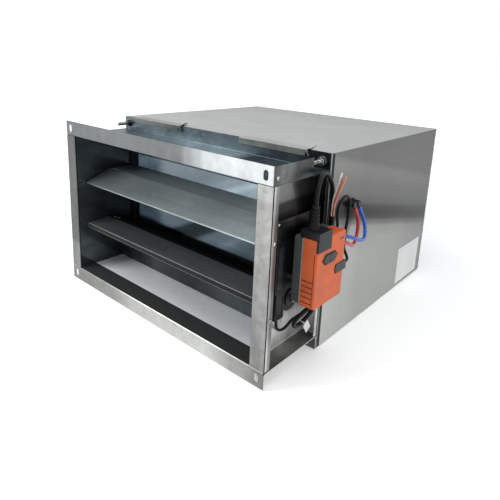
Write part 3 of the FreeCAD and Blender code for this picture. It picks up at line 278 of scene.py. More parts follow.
def zinc_group():
    """The look of a zinc coating: frosted streaks, clouds and faint crystals."""
    group, given, result = finish_group("zinc_crystals", [
        ("Light Tone", "Color"), ("Dark Tone", "Color"), ("Crystal Scale", "Float"),
        ("Streak Stretch", "Vector"), ("Gloss Roughness", "Float")])
    place = add_node(group, "TexCoord")
    crystal = add_node(group, "TexVoronoi")
    split = add_node(group, "SeparateColor")
    cloud = add_node(group, "TexNoise", Scale=11, Detail=5)
    stretch = add_node(group, "VectorMath", "MULTIPLY")
    streak = add_node(group, "TexNoise", Scale=1, Detail=5)
    first = add_node(group, "Math", "MULTIPLY_ADD")
    first.inputs[1].default_value = CRYSTAL_SHARE
    second = add_node(group, "Math", "MULTIPLY_ADD")
    second.inputs[1].default_value = STREAK_SHARE
    tone = add_node(group, "MapRange", From_Min=0.8, From_Max=1.35)
    mix = add_node(group, "Mix")
    mix.data_type = "RGBA"
    gloss = add_node(group, "MapRange", To_Min=0.85, To_Max=1.2)
    rough = add_node(group, "Math", "MULTIPLY")
    wire(group, (place, "Object", crystal, "Vector"), (given, "Crystal Scale", crystal, "Scale"),
         (crystal, "Color", split, "Color"), (place, "Object", cloud, "Vector"),
         (place, "Object", stretch, 0), (given, "Streak Stretch", stretch, 1),
         (stretch, "Vector", streak, "Vector"), (split, "Red", first, 0), (cloud, "Fac", first, 2),
         (streak, "Fac", second, 0), (first, "Value", second, 2), (second, "Value", tone, "Value"),
         (tone, "Result", mix, "Factor"), (given, "Dark Tone", mix, "A"), (given, "Light Tone", mix, "B"),
         (streak, "Fac", gloss, "Value"), (gloss, "Result", rough, 0), (given, "Gloss Roughness", rough, 1),
         (mix, "Result", result, "Colour"), (rough, "Value", result, "Roughness"),
         (streak, "Fac", result, "Height"))
    return group


zinc = zinc_group()


def paint_light_ramp(tree, colour, along, tones, waver):
    """Paint light and shade on a colour by steps of (place in mm, share of light) along a direction; give
    both.
    """
    place = add_node(tree, "TexCoord")
    measure = add_node(tree, "VectorMath", "DOT_PRODUCT")
    measure.inputs[1].default_value = along
    ripple = add_node(tree, "TexNoise", Scale=14, Detail=4)
    shift = add_node(tree, "Math", "MULTIPLY_ADD")
    shift.inputs[1].default_value = waver * MM
    first, last = tones[0][0], tones[-1][0]
    share = add_node(tree, "MapRange", From_Min=first * MM, From_Max=last * MM)
    ramp = add_node(tree, "ValToRGB")
    ramp.color_ramp.interpolation = "EASE"
    for position, tone in tones[1:-1]:
        ramp.color_ramp.elements.new((position - first) / (last - first)).color = (tone, tone, tone, 1)
    for end in (0, -1):
        ramp.color_ramp.elements[end].color = (tones[end][1], tones[end][1], tones[end][1], 1)
    toned = add_node(tree, "VectorMath", "MULTIPLY")
    tree.links.new(colour, toned.inputs[0])
    wire(tree, (place, "Object", measure, 0), (place, "Object", ripple, "Vector"), (ripple, "Fac", shift, 0),
         (measure, "Value", shift, 2), (shift, "Value", share, "Value"), (share, "Result", ramp, "Fac"),
         (ramp, "Color", toned, 1))
    return toned.outputs["Vector"], ramp.outputs["Color"]


ACROSS = (1, 0, 0)
BACKWARD = (0, 1, 0)
UPWARD = (0, 0, 1)


def zinc_coat(name, light, dark, roughness, *painted_light_ramps, crystal=90, stretch=(60, 60, 12), relief=0.05,
              metallic=1.0, waver=12, specular=0.5, matt_shade=False):
    """A zinc finish between two tones, with its streaks drawn out along one axis, and its painted light.

    With matt_shade the metal's shine goes away where the last painted ramp is dark, to deepen painted shade.
    """
    coat, shader, crystals = finish_of(
        name, zinc, relief, 0.5 * MM, specular, Light_Tone=(*light, 1), Dark_Tone=(*dark, 1),
        Crystal_Scale=crystal, Streak_Stretch=stretch, Gloss_Roughness=roughness)
    tree = coat.node_tree
    shader.inputs["Metallic"].default_value = metallic
    colour = crystals.outputs["Colour"]
    # Each ramp paints reflections, highlights and shade into the colour by place along its direction.
    for along, tones in painted_light_ramps:
        colour, tone = paint_light_ramp(tree, colour, along, tones, waver)
    if matt_shade:
        shine = add_node(tree, "MapRange", From_Min=0.06, From_Max=0.25, To_Max=metallic)
        tree.links.new(tone, shine.inputs["Value"])
        wire(tree, (shine, "Result", shader, "Metallic"))
    tree.links.new(colour, shader.inputs["Base Color"])
    return coat


def only(piece):
    """Select one piece and nothing else."""
    bpy.ops.object.select_all(action="DESELECT")
    piece.select_set(True)
    bpy.context.view_layer.objects.active = piece


def settle(piece):
    """Put a piece's place, turn and scale into its mesh."""
    only(piece)
    bpy.ops.object.transform_apply(location=True, rotation=True, scale=True)


def blank(name, low, high):
    """A solid block between two corners."""
    low, high = Vector(low), Vector(high)
    bpy.ops.mesh.primitive_cube_add(size=1, location=(low + high) / 2, scale=high - low)
    piece = bpy.context.object
    piece.name = name
    settle(piece)
    return piece


def close():
    """Leave the editing of a piece."""
    bpy.ops.object.mode_set(mode="OBJECT")


def pick(piece, faces=None, edges=None, corners=None):
    """Open a piece for editing, with the faces, edges or corners selected that a rule chooses."""
    only(piece)
    bpy.ops.object.mode_set(mode="EDIT")
    bpy.ops.mesh.select_mode(type="FACE" if faces else "EDGE" if edges else "VERT")
    bpy.ops.mesh.select_all(action="DESELECT")
    close()
    mesh = piece.data
    if faces:
        for face in mesh.polygons:
            face.select = faces(face.center, face.normal)
    if edges:
        for edge in mesh.edges:
            edge.select = edges(*[mesh.vertices[end].co for end in edge.vertices])
    if corners:
        for corner in mesh.vertices:
            corner.select = corners(corner.co)
    bpy.ops.object.mode_set(mode="EDIT")


def remove_faces(piece, rule):
    pick(piece, faces=rule)
    bpy.ops.mesh.delete(type="FACE")
    close()


def score(piece, place, normal):
    """Draw a line round a piece where a plane cuts it."""
    pick(piece, faces=lambda centre, direction: True)
    bpy.ops.mesh.bisect(plane_co=place, plane_no=normal)
    close()


def apply(piece, kind, **settings):
    """Add a modifier with its settings, and apply it."""
    only(piece)
    modifier = piece.modifiers.new(kind, kind)
    for setting, value in settings.items():
        setattr(modifier, setting, value)
    bpy.ops.object.modifier_apply(modifier=modifier.name)


def cut(piece, tool):
    """Cut the shape of a tool out of a piece, and put the tool away."""
    apply(piece, "BOOLEAN", operation="DIFFERENCE", solver="EXACT", object=tool)
    bpy.data.objects.remove(tool)


def fold(piece, radius):
    """Round the folds of an open sheet, and give it its thickness on its inner side."""
    pick(piece, edges=lambda one, other: False)
    bpy.ops.mesh.edges_select_sharp(sharpness=math.radians(30))
    bpy.ops.mesh.bevel(offset=radius, segments=3, affect="EDGES")
    close()
    apply(piece, "SOLIDIFY", thickness=SHEET, offset=-1, use_even_offset=True)


def round_tool(place, diameter, axis, reach=0.0):
    """A drill that goes through a sheet, or with a reach a slot cutter that is longer along Z."""
    bpy.ops.mesh.primitive_cylinder_add(vertices=32, radius=diameter / 2, depth=8 * SHEET)
    tool = bpy.context.object
    tool.rotation_mode = "QUATERNION"
    tool.rotation_quaternion = Vector((0, 0, 1)).rotation_difference(Vector(axis))
    settle(tool)
    for side in (-1, 1):
        pick(tool, corners=lambda corner: side * corner.z > 0.1 * MM)
        bpy.ops.transform.translate(value=(0, 0, side * reach))
        close()
    tool.location = place
    settle(tool)
    return tool


def fit(piece, coat, slot, *stands_for, body="casing_body"):
    """Give a piece its finish and set it on a body, in place of the nodes it stands for."""
    pick(piece, faces=lambda centre, normal: True)
    bpy.ops.mesh.normals_make_consistent(inside=False)
    close()
    bpy.ops.object.shade_smooth_by_angle(angle=math.radians(32))
    apply(piece, "WEIGHTED_NORMAL", keep_sharp=True, weight=100)
    if not piece.data.materials:
        piece.data.materials.append(coat)
    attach(piece, body)
    if stands_for:
        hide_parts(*stands_for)


def coat_faces(piece, coat, rule):
    """Give the faces that a rule chooses a finish of their own."""
    piece.data.materials.append(coat)
    pick(piece, faces=rule)
    piece.active_material_index = len(piece.data.materials) - 1
    bpy.ops.object.material_slot_assign()
    close()


SHEET = 1.0 * MM
FOLD_RADIUS = 1.8 * MM
TAB_REAR = 100 * MM
HEM_REACH = 4 * MM
HEM_LOOP = 1.6 * MM
HEM_HIGHLIGHT_LINE = 0.9 * MM
SLOT_WIDTH = 9 * MM
SLOT_REACH = 3.5 * MM
CORNER_INSET = 15 * MM
FLANGE_BACK = 3 * MM
# The front flanges' ramps across are painted reflections: lighter and darker patches by place along the sheet.
top_zinc = zinc_coat("top_flange_zinc", (0.57, 0.59, 0.595), (0.43, 0.45, 0.46), 0.34, (ACROSS, [
    (-280, 0.27), (86, 0.26), (106, 0.45), (156, 0.85), (206, 0.95), (290, 0.95)]))
bottom_zinc = zinc_coat("bottom_flange_zinc", (0.57, 0.575, 0.55), (0.43, 0.435, 0.41), 0.34, (ACROSS, [
    (-280, 0.40), (-160, 0.48), (-20, 0.9), (40, 1.0), (160, 1.0), (230, 0.66), (290, 0.4)]))
# The trough and its rear flange carry painted reflections and painted shade, darkest at the right end.
trough_zinc = zinc_coat("trough_zinc", (0.44, 0.55, 0.60), (0.20, 0.27, 0.31), 0.26, (ACROSS, [
    (-280, 0.34), (-100, 0.30), (-40, 0.34), (90, 0.29), (140, 0.10), (195, 0.13), (280, 0.10)]),
    stretch=(5, 90, 90), metallic=0.55, specular=0.0, matt_shade=True)
rear_flange_zinc = zinc_coat("rear_flange_zinc", (0.33, 0.41, 0.45), (0.15, 0.20, 0.23), 0.30, (ACROSS, [
    (-280, 0.45), (-118, 0.50), (-55, 0.70), (0, 0.52), (45, 0.60), (200, 0.45), (262, 0.10),
    (280, 0.10)]), stretch=(5, 90, 90))
ceiling_zinc = zinc_coat("ceiling_zinc", (0.55, 0.60, 0.61), (0.40, 0.45, 0.46), 0.20)
# The end tab is a darker copy of the zinc with a painted ramp of light: brightest a little behind its front.
tab_zinc = zinc_coat("tab_zinc", (0.19, 0.20, 0.195), (0.10, 0.11, 0.105), 0.34, (BACKWARD, [
    (0, 0.60), (16, 0.62), (28, 1.0), (45, 0.95), (64, 0.5), (100, 0.35)]))
# A near-black zinc for painted shade in seams, gaps and on thin edges, where shade falls.
seam_shadow_zinc = zinc_coat("painted_seam_shadow_zinc", (0.025, 0.026, 0.027), (0.012, 0.012, 0.013), 0.45)
# A light zinc for painted highlights along the tab's lower fold and the hems' lower edges.
hem_highlight_zinc = zinc_coat("hem_highlight_zinc", (0.60, 0.61, 0.60), (0.46, 0.47, 0.46), 0.34)
# The ledges' ramp backward is painted light: brightest a little past the middle of their depth, darker at
# front and rear.
ledge_zinc = zinc_coat("ledge_zinc", (0.42, 0.43, 0.41), (0.24, 0.25, 0.235), 0.42, (BACKWARD, [
    (0, 0.38), (56, 0.58), (80, 0.90), (115, 0.62), (150, 0.3)]))
# The duct floor's ramp backward is painted reflection and shade: a dark strip at the front, a bright band to
# the stop, dark beyond it.
floor_zinc = zinc_coat("duct_floor_zinc", (0.96, 0.98, 0.99), (0.88, 0.91, 0.93), 0.16, (BACKWARD, [
    (0, 0.05), (40, 0.05), (41, 1.0), (111, 1.0), (112, 0.06), (160, 0.06)]), metallic=0.1, waver=1)
top_low, top_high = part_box("top_channel")
bottom_low, bottom_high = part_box("bottom_channel")
wall_low, wall_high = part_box("right_channel")
bolt_x = top_high.x - CORNER_INSET
bolt_z = top_high.z - CORNER_INSET
hem_edge = bottom_high.z - HEM_REACH
hem_x = bottom_high.x - FLANGE_BACK
top_channel = blank("top_channel_sheet", top_low, top_high)
score(top_channel, (0, TAB_REAR, 0), BACKWARD)
remove_faces(top_channel, lambda centre, normal: normal.z > 0.5 or normal.x < -0.5
             or (normal.x > 0.5 and centre.y > TAB_REAR))
bottom_channel = blank("bottom_channel_sheet", bottom_low, bottom_high)
score(bottom_channel, (0, 0, hem_edge), UPWARD)
for side in (-1, 1):
    score(bottom_channel, (side * wall_low.x, 0, 0), ACROSS)
remove_faces(bottom_channel, lambda centre, normal: normal.z < -0.5
             or (abs(normal.x) > 0.5 and centre.z < hem_edge))
for channel, level in ((top_channel, bolt_z), (bottom_channel, -bolt_z)):
    fold(channel, FOLD_RADIUS)
    if channel is bottom_channel:
        score(channel, (0, 0, hem_edge + HEM_LOOP), UPWARD)
    for side in (-1, 1):
        cut(channel, round_tool((side * bolt_x, 0, level), SLOT_WIDTH, BACKWARD, SLOT_REACH))
        cut(channel, round_tool((side * bolt_x, top_high.y, level), SLOT_WIDTH, BACKWARD))
fit(top_channel, top_zinc, "galvanised_steel", "top_channel")
fit(bottom_channel, bottom_zinc, "galvanised_steel", "bottom_channel")
coat_faces(top_channel, trough_zinc, lambda centre, normal: centre.y > FLANGE_BACK)
coat_faces(top_channel, rear_flange_zinc, lambda centre, normal: abs(normal.y) > 0.8
           and centre.y > top_high.y - FLANGE_BACK)
coat_faces(top_channel, ceiling_zinc, lambda centre, normal: normal.z < -0.8 and centre.z < top_low.z + SHEET)
coat_faces(top_channel, tab_zinc, lambda centre, normal: normal.x > 0.6)
# Painted shade on the end tab's inner face.
coat_faces(top_channel, seam_shadow_zinc, lambda centre, normal: normal.x < -0.6 and centre.y > FLANGE_BACK
           and centre.x > wall_low.x)
# Painted highlight along the tab's lower fold.
coat_faces(top_channel, hem_highlight_zinc, lambda centre, normal: normal.z < -0.3 and normal.x > 0.2
           and centre.y > FLANGE_BACK)
coat_faces(bottom_channel, ledge_zinc, lambda centre, normal: centre.y > FLANGE_BACK)
# Painted shade on the faces of the hems.
coat_faces(bottom_channel, seam_shadow_zinc, lambda centre, normal: abs(normal.x) > 0.3 and abs(centre.x) > hem_x)
# Painted highlight line along the hems' lower edges.
coat_faces(bottom_channel, hem_highlight_zinc, lambda centre, normal: centre.z < hem_edge + HEM_HIGHLIGHT_LINE
           and abs(centre.x) > hem_x and centre.y > FLANGE_BACK)
coat_faces(bottom_channel, floor_zinc, lambda centre, normal: centre.y > FLANGE_BACK
           and abs(centre.x) < wall_low.x)


# Side channels
# The side walls of the damper section, folded from the same sheet: a web, a front flange, and a
# rear flange with a narrow return lip. Two holes take the bushes of the blades' axles.
def copy_of(piece, name, change=Matrix()):
    """The same piece once more, moved or mirrored by a matrix."""
    mesh = piece.data.copy()
    mesh.transform(change)
    if change.is_negative:
        mesh.flip_normals()
    other = bpy.data.objects.new(name, mesh)
    bpy.context.scene.collection.objects.link(other)
    return other


LEFT_FOR_RIGHT = Matrix.Diagonal((-1, 1, 1, 1))
REAR_LIP = 9 * MM
BUSH_HOLE = 16 * MM
upper_axle_place = sum(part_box("upper_axle"), Vector()) / 2
lower_axle_place = sum(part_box("lower_axle"), Vector()) / 2
right_channel = blank("right_channel_sheet", wall_low, wall_high)
lip_front = wall_high.y - REAR_LIP
score(right_channel, (0, lip_front, 0), BACKWARD)
remove_faces(right_channel, lambda centre, normal: abs(normal.z) > 0.5
             or (normal.x > 0.5 and centre.y < lip_front))
fold(right_channel, FOLD_RADIUS)
for axle in (lower_axle_place, upper_axle_place):
    cut(right_channel, round_tool((wall_low.x, axle.y, axle.z), BUSH_HOLE, ACROSS))
left_channel = copy_of(right_channel, "left_channel_sheet", LEFT_FOR_RIGHT)
# The side flanges are lit and shaded copies of one zinc: the left one darker, with painted shade over all but
# its foot; the right one lighter towards the top.
right_zinc = zinc_coat("right_flange_zinc", (0.43, 0.43, 0.42), (0.25, 0.25, 0.24), 0.34, (UPWARD, [
    (-160, 0.76), (0, 0.82), (110, 0.92), (150, 1.0)]))
left_zinc = zinc_coat("left_flange_zinc", (0.25, 0.26, 0.25), (0.16, 0.17, 0.16), 0.34, (UPWARD, [
    (-160, 1.0), (-95, 1.0), (-75, 0.5), (160, 0.42)]))
# The walls inside the duct darken towards the rear by painted shade, near black behind the blades.
wall_zinc = zinc_coat("wall_zinc", (0.22, 0.245, 0.25), (0.12, 0.14, 0.15), 0.16, (BACKWARD, [
    (0, 0.75), (40, 0.70), (80, 0.52), (120, 0.30), (138, 0.26), (141, 0.04), (150, 0.04)]),
    stretch=(60, 12, 60), metallic=0.8, specular=0.2)
# The recesses outside the walls have painted light and shade: a painted highlight line at the foot, a bright
# lower part, deep painted shade over the middle, lighter at the top; a slanting ramp darkens them towards the
# rear.
recess_zinc = zinc_coat("recess_zinc", (0.95, 0.96, 0.95), (0.66, 0.67, 0.66), 0.36, (UPWARD, [
    (-150, 1.0), (-147, 1.0), (-145, 0.62), (-105, 0.9), (-70, 0.2), (0, 0.08), (70, 0.06), (88, 0.08),
    (107, 0.055), (113, 0.25), (126, 0.31), (150, 0.33)]), ((0, 1, 0.35), [
    (-60, 1.0), (133, 1.0), (140, 0.42), (152, 0.16), (220, 0.12)]), metallic=0.5, specular=0.1, waver=3)
web_middle = wall_low.x + SHEET / 2
for side, channel, coat in (("right", right_channel, right_zinc), ("left", left_channel, left_zinc)):
    fit(channel, coat, "galvanised_steel", side + "_channel")
    coat_faces(channel, recess_zinc, lambda centre, normal: centre.y > FLANGE_BACK)
    coat_faces(channel, wall_zinc, lambda centre, normal: centre.y > FLANGE_BACK
               and abs(centre.x) < web_middle)
    # Painted shade on the thin front edges of the flanges.
    coat_faces(channel, seam_shadow_zinc, lambda centre, normal: abs(normal.y) < 0.5 and centre.y < SHEET)


# Edge angles
# A folded strip behind each side flange, held off by a hem, whose lip closes the casing's edge
# and leaves a narrow dark gap behind the flange.
ANGLE_GAP = 2.5 * MM
angle_low, angle_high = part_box("right_edge_angle")
right_angle = blank("right_edge_strip", (angle_low.x, angle_low.y + ANGLE_GAP, angle_low.z), angle_high)
remove_faces(right_angle, lambda centre, normal: abs(normal.z) > 0.5 or normal.x < -0.5 or normal.y > 0.5)
pick(right_angle, edges=lambda one, other: max(one.x, other.x) < angle_low.x + SHEET)
bpy.ops.mesh.extrude_region_move(TRANSFORM_OT_translate={"value": (0, -ANGLE_GAP, 0)})
close()
fold(right_angle, 0.8 * SHEET)
left_angle = copy_of(right_angle, "left_edge_strip", LEFT_FOR_RIGHT)
# The edge strips' ramps are painted highlights: bright at the foot and along the front lip, darker between.
edge_zinc = zinc_coat("edge_zinc", (0.66, 0.67, 0.66), (0.50, 0.51, 0.50), 0.34, (UPWARD, [
    (-150, 1.0), (-115, 1.0), (-80, 0.55), (90, 0.60), (150, 0.85)]), (BACKWARD, [
    (0, 1.0), (7, 1.0), (9, 0.50), (20, 0.45)]), waver=1)
for side, angle in (("right", right_angle), ("left", left_angle)):
    fit(angle, edge_zinc, "galvanised_steel", side + "_edge_angle")
    # Painted shade on the faces in the gap behind the flange.
    coat_faces(angle, seam_shadow_zinc, lambda centre, normal: centre.y < angle_low.y + ANGLE_GAP)


# Casing screws
# Pan-headed zinc-coated screws with a cross recess: two in each edge strip, which they hold to
# the channels, and one in the top channel's end tab.
def turned(name, rings, place, axis, steps=24):
    """A round piece: a disc drawn out along an axis, ring by ring, to (radius, height) in mm."""
    bpy.ops.mesh.primitive_circle_add(vertices=steps, radius=rings[0][0] * MM, fill_type="NGON")
    piece = bpy.context.object
    piece.name = name
    bpy.ops.object.mode_set(mode="EDIT")
    for (radius, height), (next_radius, next_height) in zip(rings, rings[1:]):
        bpy.ops.mesh.extrude_region_move()
        bpy.ops.transform.translate(value=(0, 0, (next_height - height) * MM))
        bpy.ops.transform.resize(value=(next_radius / radius, next_radius / radius, 1))
    close()
    piece.rotation_mode = "QUATERNION"
    piece.rotation_quaternion = Vector((0, 0, 1)).rotation_difference(Vector(axis))
    piece.location = place
    settle(piece)
    return piece


def join(name, pieces):
    """Make a group of like pieces one object."""
    only(pieces[0])
    for piece in pieces:
        piece.select_set(True)
    bpy.ops.object.join()
    pieces[0].name = name
    return pieces[0]


EDGE_SCREW_Y = 9 * MM
EDGE_SCREW_Z = 63 * MM
TAB_SCREW_Y = 8 * MM
TAB_SCREW_Z = 162 * MM
CROSS_LENGTH = 3.6 * MM
CROSS_WIDTH = 0.9 * MM
fastener_zinc = zinc_coat("fastener_zinc", (0.58, 0.58, 0.57), (0.14, 0.14, 0.145), 0.20, crystal=900)
head = turned("screw_head", [(3.5, 0), (3.5, 0.9), (3.2, 1.7), (2.5, 2.2), (1.4, 2.4)],
              (top_high.x, 0, 0), ACROSS)
for length, width in ((CROSS_LENGTH, CROSS_WIDTH), (CROSS_WIDTH, CROSS_LENGTH)):
    cut(head, blank("cross", (top_high.x + 1.2 * MM, -length / 2, -width / 2),
                    (top_high.x + 4 * MM, length / 2, width / 2)))
screws = [copy_of(head, "right_screw", Matrix.Translation((0, EDGE_SCREW_Y, side * EDGE_SCREW_Z)))
          for side in (-1, 1)]
screws += [copy_of(screw, "left_screw", LEFT_FOR_RIGHT) for screw in screws]
screws.append(copy_of(head, "tab_screw", Matrix.Translation((0, TAB_SCREW_Y, TAB_SCREW_Z))))
bpy.data.objects.remove(head)
fit(join("edge_and_tab_screws", screws), fastener_zinc, "zinc_fastener", "casing_screws")


# Stops
# Two folded zinc-coated angles, one fixed across the duct's floor and one across its ceiling,
# which the closed blades lie on.
lower_stop = blank("lower_stop_angle", *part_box("lower_stop"))
remove_faces(lower_stop, lambda centre, normal: abs(normal.x) > 0.5 or normal.y > 0.5 or normal.z > 0.5)
fold(lower_stop, FOLD_RADIUS)
upper_stop = copy_of(lower_stop, "upper_stop_angle", Matrix.Diagonal((1, 1, -1, 1)))
# The stops are darker copies of the zinc in painted shade: the lower one near black across its middle, the
# upper one dark all over.
lower_stop_zinc = zinc_coat("lower_stop_zinc", (0.14, 0.165, 0.18), (0.08, 0.095, 0.105), 0.26, (ACROSS, [
    (-250, 0.55), (-141, 0.40), (-72, 0.10), (-8, 0.05), (52, 0.12), (107, 0.25), (250, 0.35)]),
    metallic=0.7, specular=0.2)
upper_stop_zinc = zinc_coat("upper_stop_zinc", (0.045, 0.052, 0.056), (0.025, 0.03, 0.032), 0.20,
                            stretch=(12, 60, 60))
fit(lower_stop, lower_stop_zinc, "galvanised_steel", "lower_stop")
fit(upper_stop, upper_stop_zinc, "galvanised_steel", "upper_stop")


# Blades
# Two hollow aluminium blades, ridged over the axle and thin at the edges, with end plates set
# into their ends and riveted near them. The lower one carries a rubber seal on its front edge.
BLADE_CHORD = 128 * MM
BLADE_THICKNESS = 28 * MM
BLADE_EDGE = 2.4 * MM
BLADE_HALF = 246 * MM
RIDGE_RADIUS = 3 * MM
REST_TURN = math.radians(9.5)
RIVET_PLACES = (221 * MM, 234 * MM)
RIDGE_TOP = 13.2 * MM


def round_edges(piece, rule, radius, steps=3):
    pick(piece, edges=rule)
    bpy.ops.mesh.bevel(offset=radius, segments=steps, affect="EDGES")
    close()


def set_on_axle(piece, axle, turn):
    """Turn a piece about the middle of a blade, and put it on the axle's line."""
    piece.rotation_euler = (turn, 0, 0)
    piece.location = (0, axle.y, axle.z)
    settle(piece)


# The upper blade's ramp across is painted light, darker at the left end and lighter to the right.
upper_metal = zinc_coat("upper_blade_metal", (0.76, 0.85, 0.86), (0.60, 0.69, 0.70), 0.42, (ACROSS, [
    (-250, 0.22), (-100, 0.42), (100, 0.58), (250, 0.78)]), stretch=(6, 60, 60), metallic=0.6)
# The lower blade's ramps are painted shade: near black over its rear half behind the ridge, with a matt finish
# there.
lower_metal = zinc_coat("lower_blade_metal", (0.56, 0.60, 0.61), (0.44, 0.47, 0.48), 0.24, (ACROSS, [
    (-250, 0.46), (-150, 0.40), (-60, 0.38), (0, 0.42), (100, 0.44), (250, 0.38)]), (BACKWARD, [
    (0, 0.64), (30, 0.64), (33, 0.58), (75, 0.58), (77, 0.03), (150, 0.03)]), stretch=(6, 60, 60),
    relief=0.02, metallic=0.6, waver=1, specular=0.0, matt_shade=True)
rivet_metal = zinc_coat("rivet_metal", (0.42, 0.43, 0.43), (0.10, 0.10, 0.10), 0.3, crystal=900)
for name, axle, turn, metal in (("lower_blade", lower_axle_place, -REST_TURN, lower_metal),
                                ("upper_blade", upper_axle_place, REST_TURN, upper_metal)):
    skin = blank(name + "_skin", (-BLADE_HALF, -BLADE_CHORD / 2, -BLADE_THICKNESS / 2),
                 (BLADE_HALF, BLADE_CHORD / 2, BLADE_THICKNESS / 2))
    score(skin, (0, 0, 0), BACKWARD)
    pick(skin, corners=lambda corner: abs(corner.y) > BLADE_CHORD / 4)
    bpy.ops.transform.resize(value=(1, 1, BLADE_EDGE / BLADE_THICKNESS), center_override=(0, 0, 0))
    close()
    round_edges(skin, lambda one, other: abs(one.y) + abs(other.y) < MM and abs(one.z - other.z) < MM,
                RIDGE_RADIUS, 6)
    pick(skin, faces=lambda centre, normal: abs(normal.x) > 0.5)
    bpy.ops.mesh.inset(thickness=1.1 * MM, depth=-1.5 * MM)
    close()
    set_on_axle(skin, axle, turn)
    fit(skin, metal, "blade_metal", name, body=name + "_body")
    rivets = [turned("rivet", [(3, 0), (2.9, 0.9), (2.3, 1.6), (1.0, 2.0)],
                     (side * rivet_x, 0, face * RIDGE_TOP), (0, 0, face), 16)
              for side in (-1, 1) for rivet_x in RIVET_PLACES for face in (-1, 1)]
    rivets = join(name + "_pop_rivets", rivets)
    set_on_axle(rivets, axle, turn)
    fit(rivets, rivet_metal, "zinc_fastener", name + "_rivets", body=name + "_body")


def dress(finish, *names):
    """Give a finish to nodes whose own shape is right."""
    for name in names:
        for place in node[name].material_slots:
            place.material = finish


def eased(name, source, radius):
    """A moulded piece: the node's own form, made whole and its sharp edges eased."""
    piece = copy_of(node[source], name)
    piece.data.materials.clear()
    pick(piece, faces=lambda centre, normal: True)
    bpy.ops.mesh.remove_doubles(threshold=0.01 * MM)
    bpy.ops.mesh.dissolve_limited(angle_limit=math.radians(0.5))
    close()
    apply(piece, "BEVEL", width=radius, segments=2, limit_method="ANGLE", angle_limit=math.radians(40),
          harden_normals=False, miter_outer="MITER_ARC", use_clamp_overlap=True)
    return piece


rubber = moulded("black_rubber", (0.012, 0.012, 0.012), 0.55, grain=600, relief=0.2, specular=0.12)
dress(rubber, "joint_gasket")
SEAL_FACE = Vector((0, -math.cos(REST_TURN), math.sin(REST_TURN)))
seal = eased("blade_seal_strip", "lower_blade_seal", 0.9 * MM)
fit(seal, rubber, "black_rubber", "lower_blade_seal", body="lower_blade_body")
# Painted highlights on the seal's eased upper and lower edges.
coat_faces(seal, moulded("seal_painted_highlight", (0.30, 0.31, 0.31), 0.35),
           lambda centre, normal: 0.3 < SEAL_FACE.dot(normal) < 0.95)
dress(fastener_zinc, "upper_axle", "lower_axle")


# Bushes and gears
# Black flanged plastic bushes, pushed into the walls, carry the axles. Four off-white gears on
# the axles, the spindle and a pin turn the blades.
black_plastic = moulded("black_plastic", (0.012, 0.013, 0.014), 0.42, specular=0.25)
gear_plastic = moulded("gear_plastic", (0.66, 0.65, 0.58), 0.5)
dress(black_plastic, "axle_bushes", "gear_housing_base", "sensor_cups")
dress(gear_plastic, "lower_gear", "drive_gear", "idler_gear", "upper_gear")


# Gear cover
# A black moulding over the gears: rounded over the gear train, with a terminal box at the front
# whose plate is bare, and a plug box under it. Its rim is eased and its hub lets the axle out.
def plate(name, low, high, radius):
    """A thin plate on the right side, with its four corners rounded."""
    piece = blank(name, low, high)
    round_edges(piece, lambda one, other: abs(one.x - other.x) > 0.1 * MM, radius)
    return piece


ROOF_X = 263 * MM
RECESS_X = ROOF_X - 0.7 * MM
PLATE_PLAY = 0.6 * MM
gear_cover = eased("gear_cover_shell", "gear_cover", 0.35 * MM)
plate_front, plate_back, plate_foot, plate_head = 47 * MM, 60 * MM, -34 * MM, 40 * MM
cut(gear_cover, blank("plate_room", (RECESS_X, plate_front, plate_foot),
                      (ROOF_X + MM, plate_back, plate_head)))
plug_front, plug_back, plug_foot, plug_head = 50 * MM, 64 * MM, -84 * MM, -50 * MM
cut(gear_cover, blank("plug_room", (RECESS_X, plug_front, plug_foot), (ROOF_X + MM, plug_back, plug_head)))
fit(gear_cover, black_plastic, "black_plastic", "gear_cover")
cover_plate = plate("gear_cover_plate",
                    (ROOF_X - 0.9 * MM, plate_front + PLATE_PLAY, plate_foot + PLATE_PLAY),
                    (ROOF_X - 0.3 * MM, plate_back - PLATE_PLAY, plate_head - PLATE_PLAY), 1.2 * MM)
fit(cover_plate, moulded("dark_plate", (0.035, 0.038, 0.042), 0.35), "dark_plastic")


# Spindle and clamp
# The steel drive spindle comes out of the gear cover into the actuator's hub, where a clamp and
# its U-bolt hold it.
dress(fastener_zinc, "drive_spindle", "spindle_clamp", "clamp_bolt")


# Actuator bracket
# A zinc-coated bar on two feet across the recess, whose stud keeps the actuator from turning.
# A rivet's head stands on the bar above the actuator's middle.
# The bracket's ramp backward is painted light: brightest near the middle, painted shade over its rear part.
bracket_zinc = zinc_coat("bracket_zinc", (0.24, 0.26, 0.27), (0.15, 0.17, 0.18), 0.28, (BACKWARD, [
    (0, 0.7), (66, 1.0), (80, 0.5), (92, 0.12), (130, 0.12)]), stretch=(60, 12, 60))
fit(eased("bracket_bar", "actuator_bracket", 0.5 * MM), bracket_zinc, "galvanised_steel", "actuator_bracket")
bracket_rivet = turned("bracket_rivet", [(2.6, 0), (2.5, 0.6), (1.7, 1.2), (0.7, 1.5)],
                       (ROOF_X + 3 * MM, 38 * MM, 81 * MM), ACROSS, 20)
fit(bracket_rivet, fastener_zinc, "zinc_fastener")


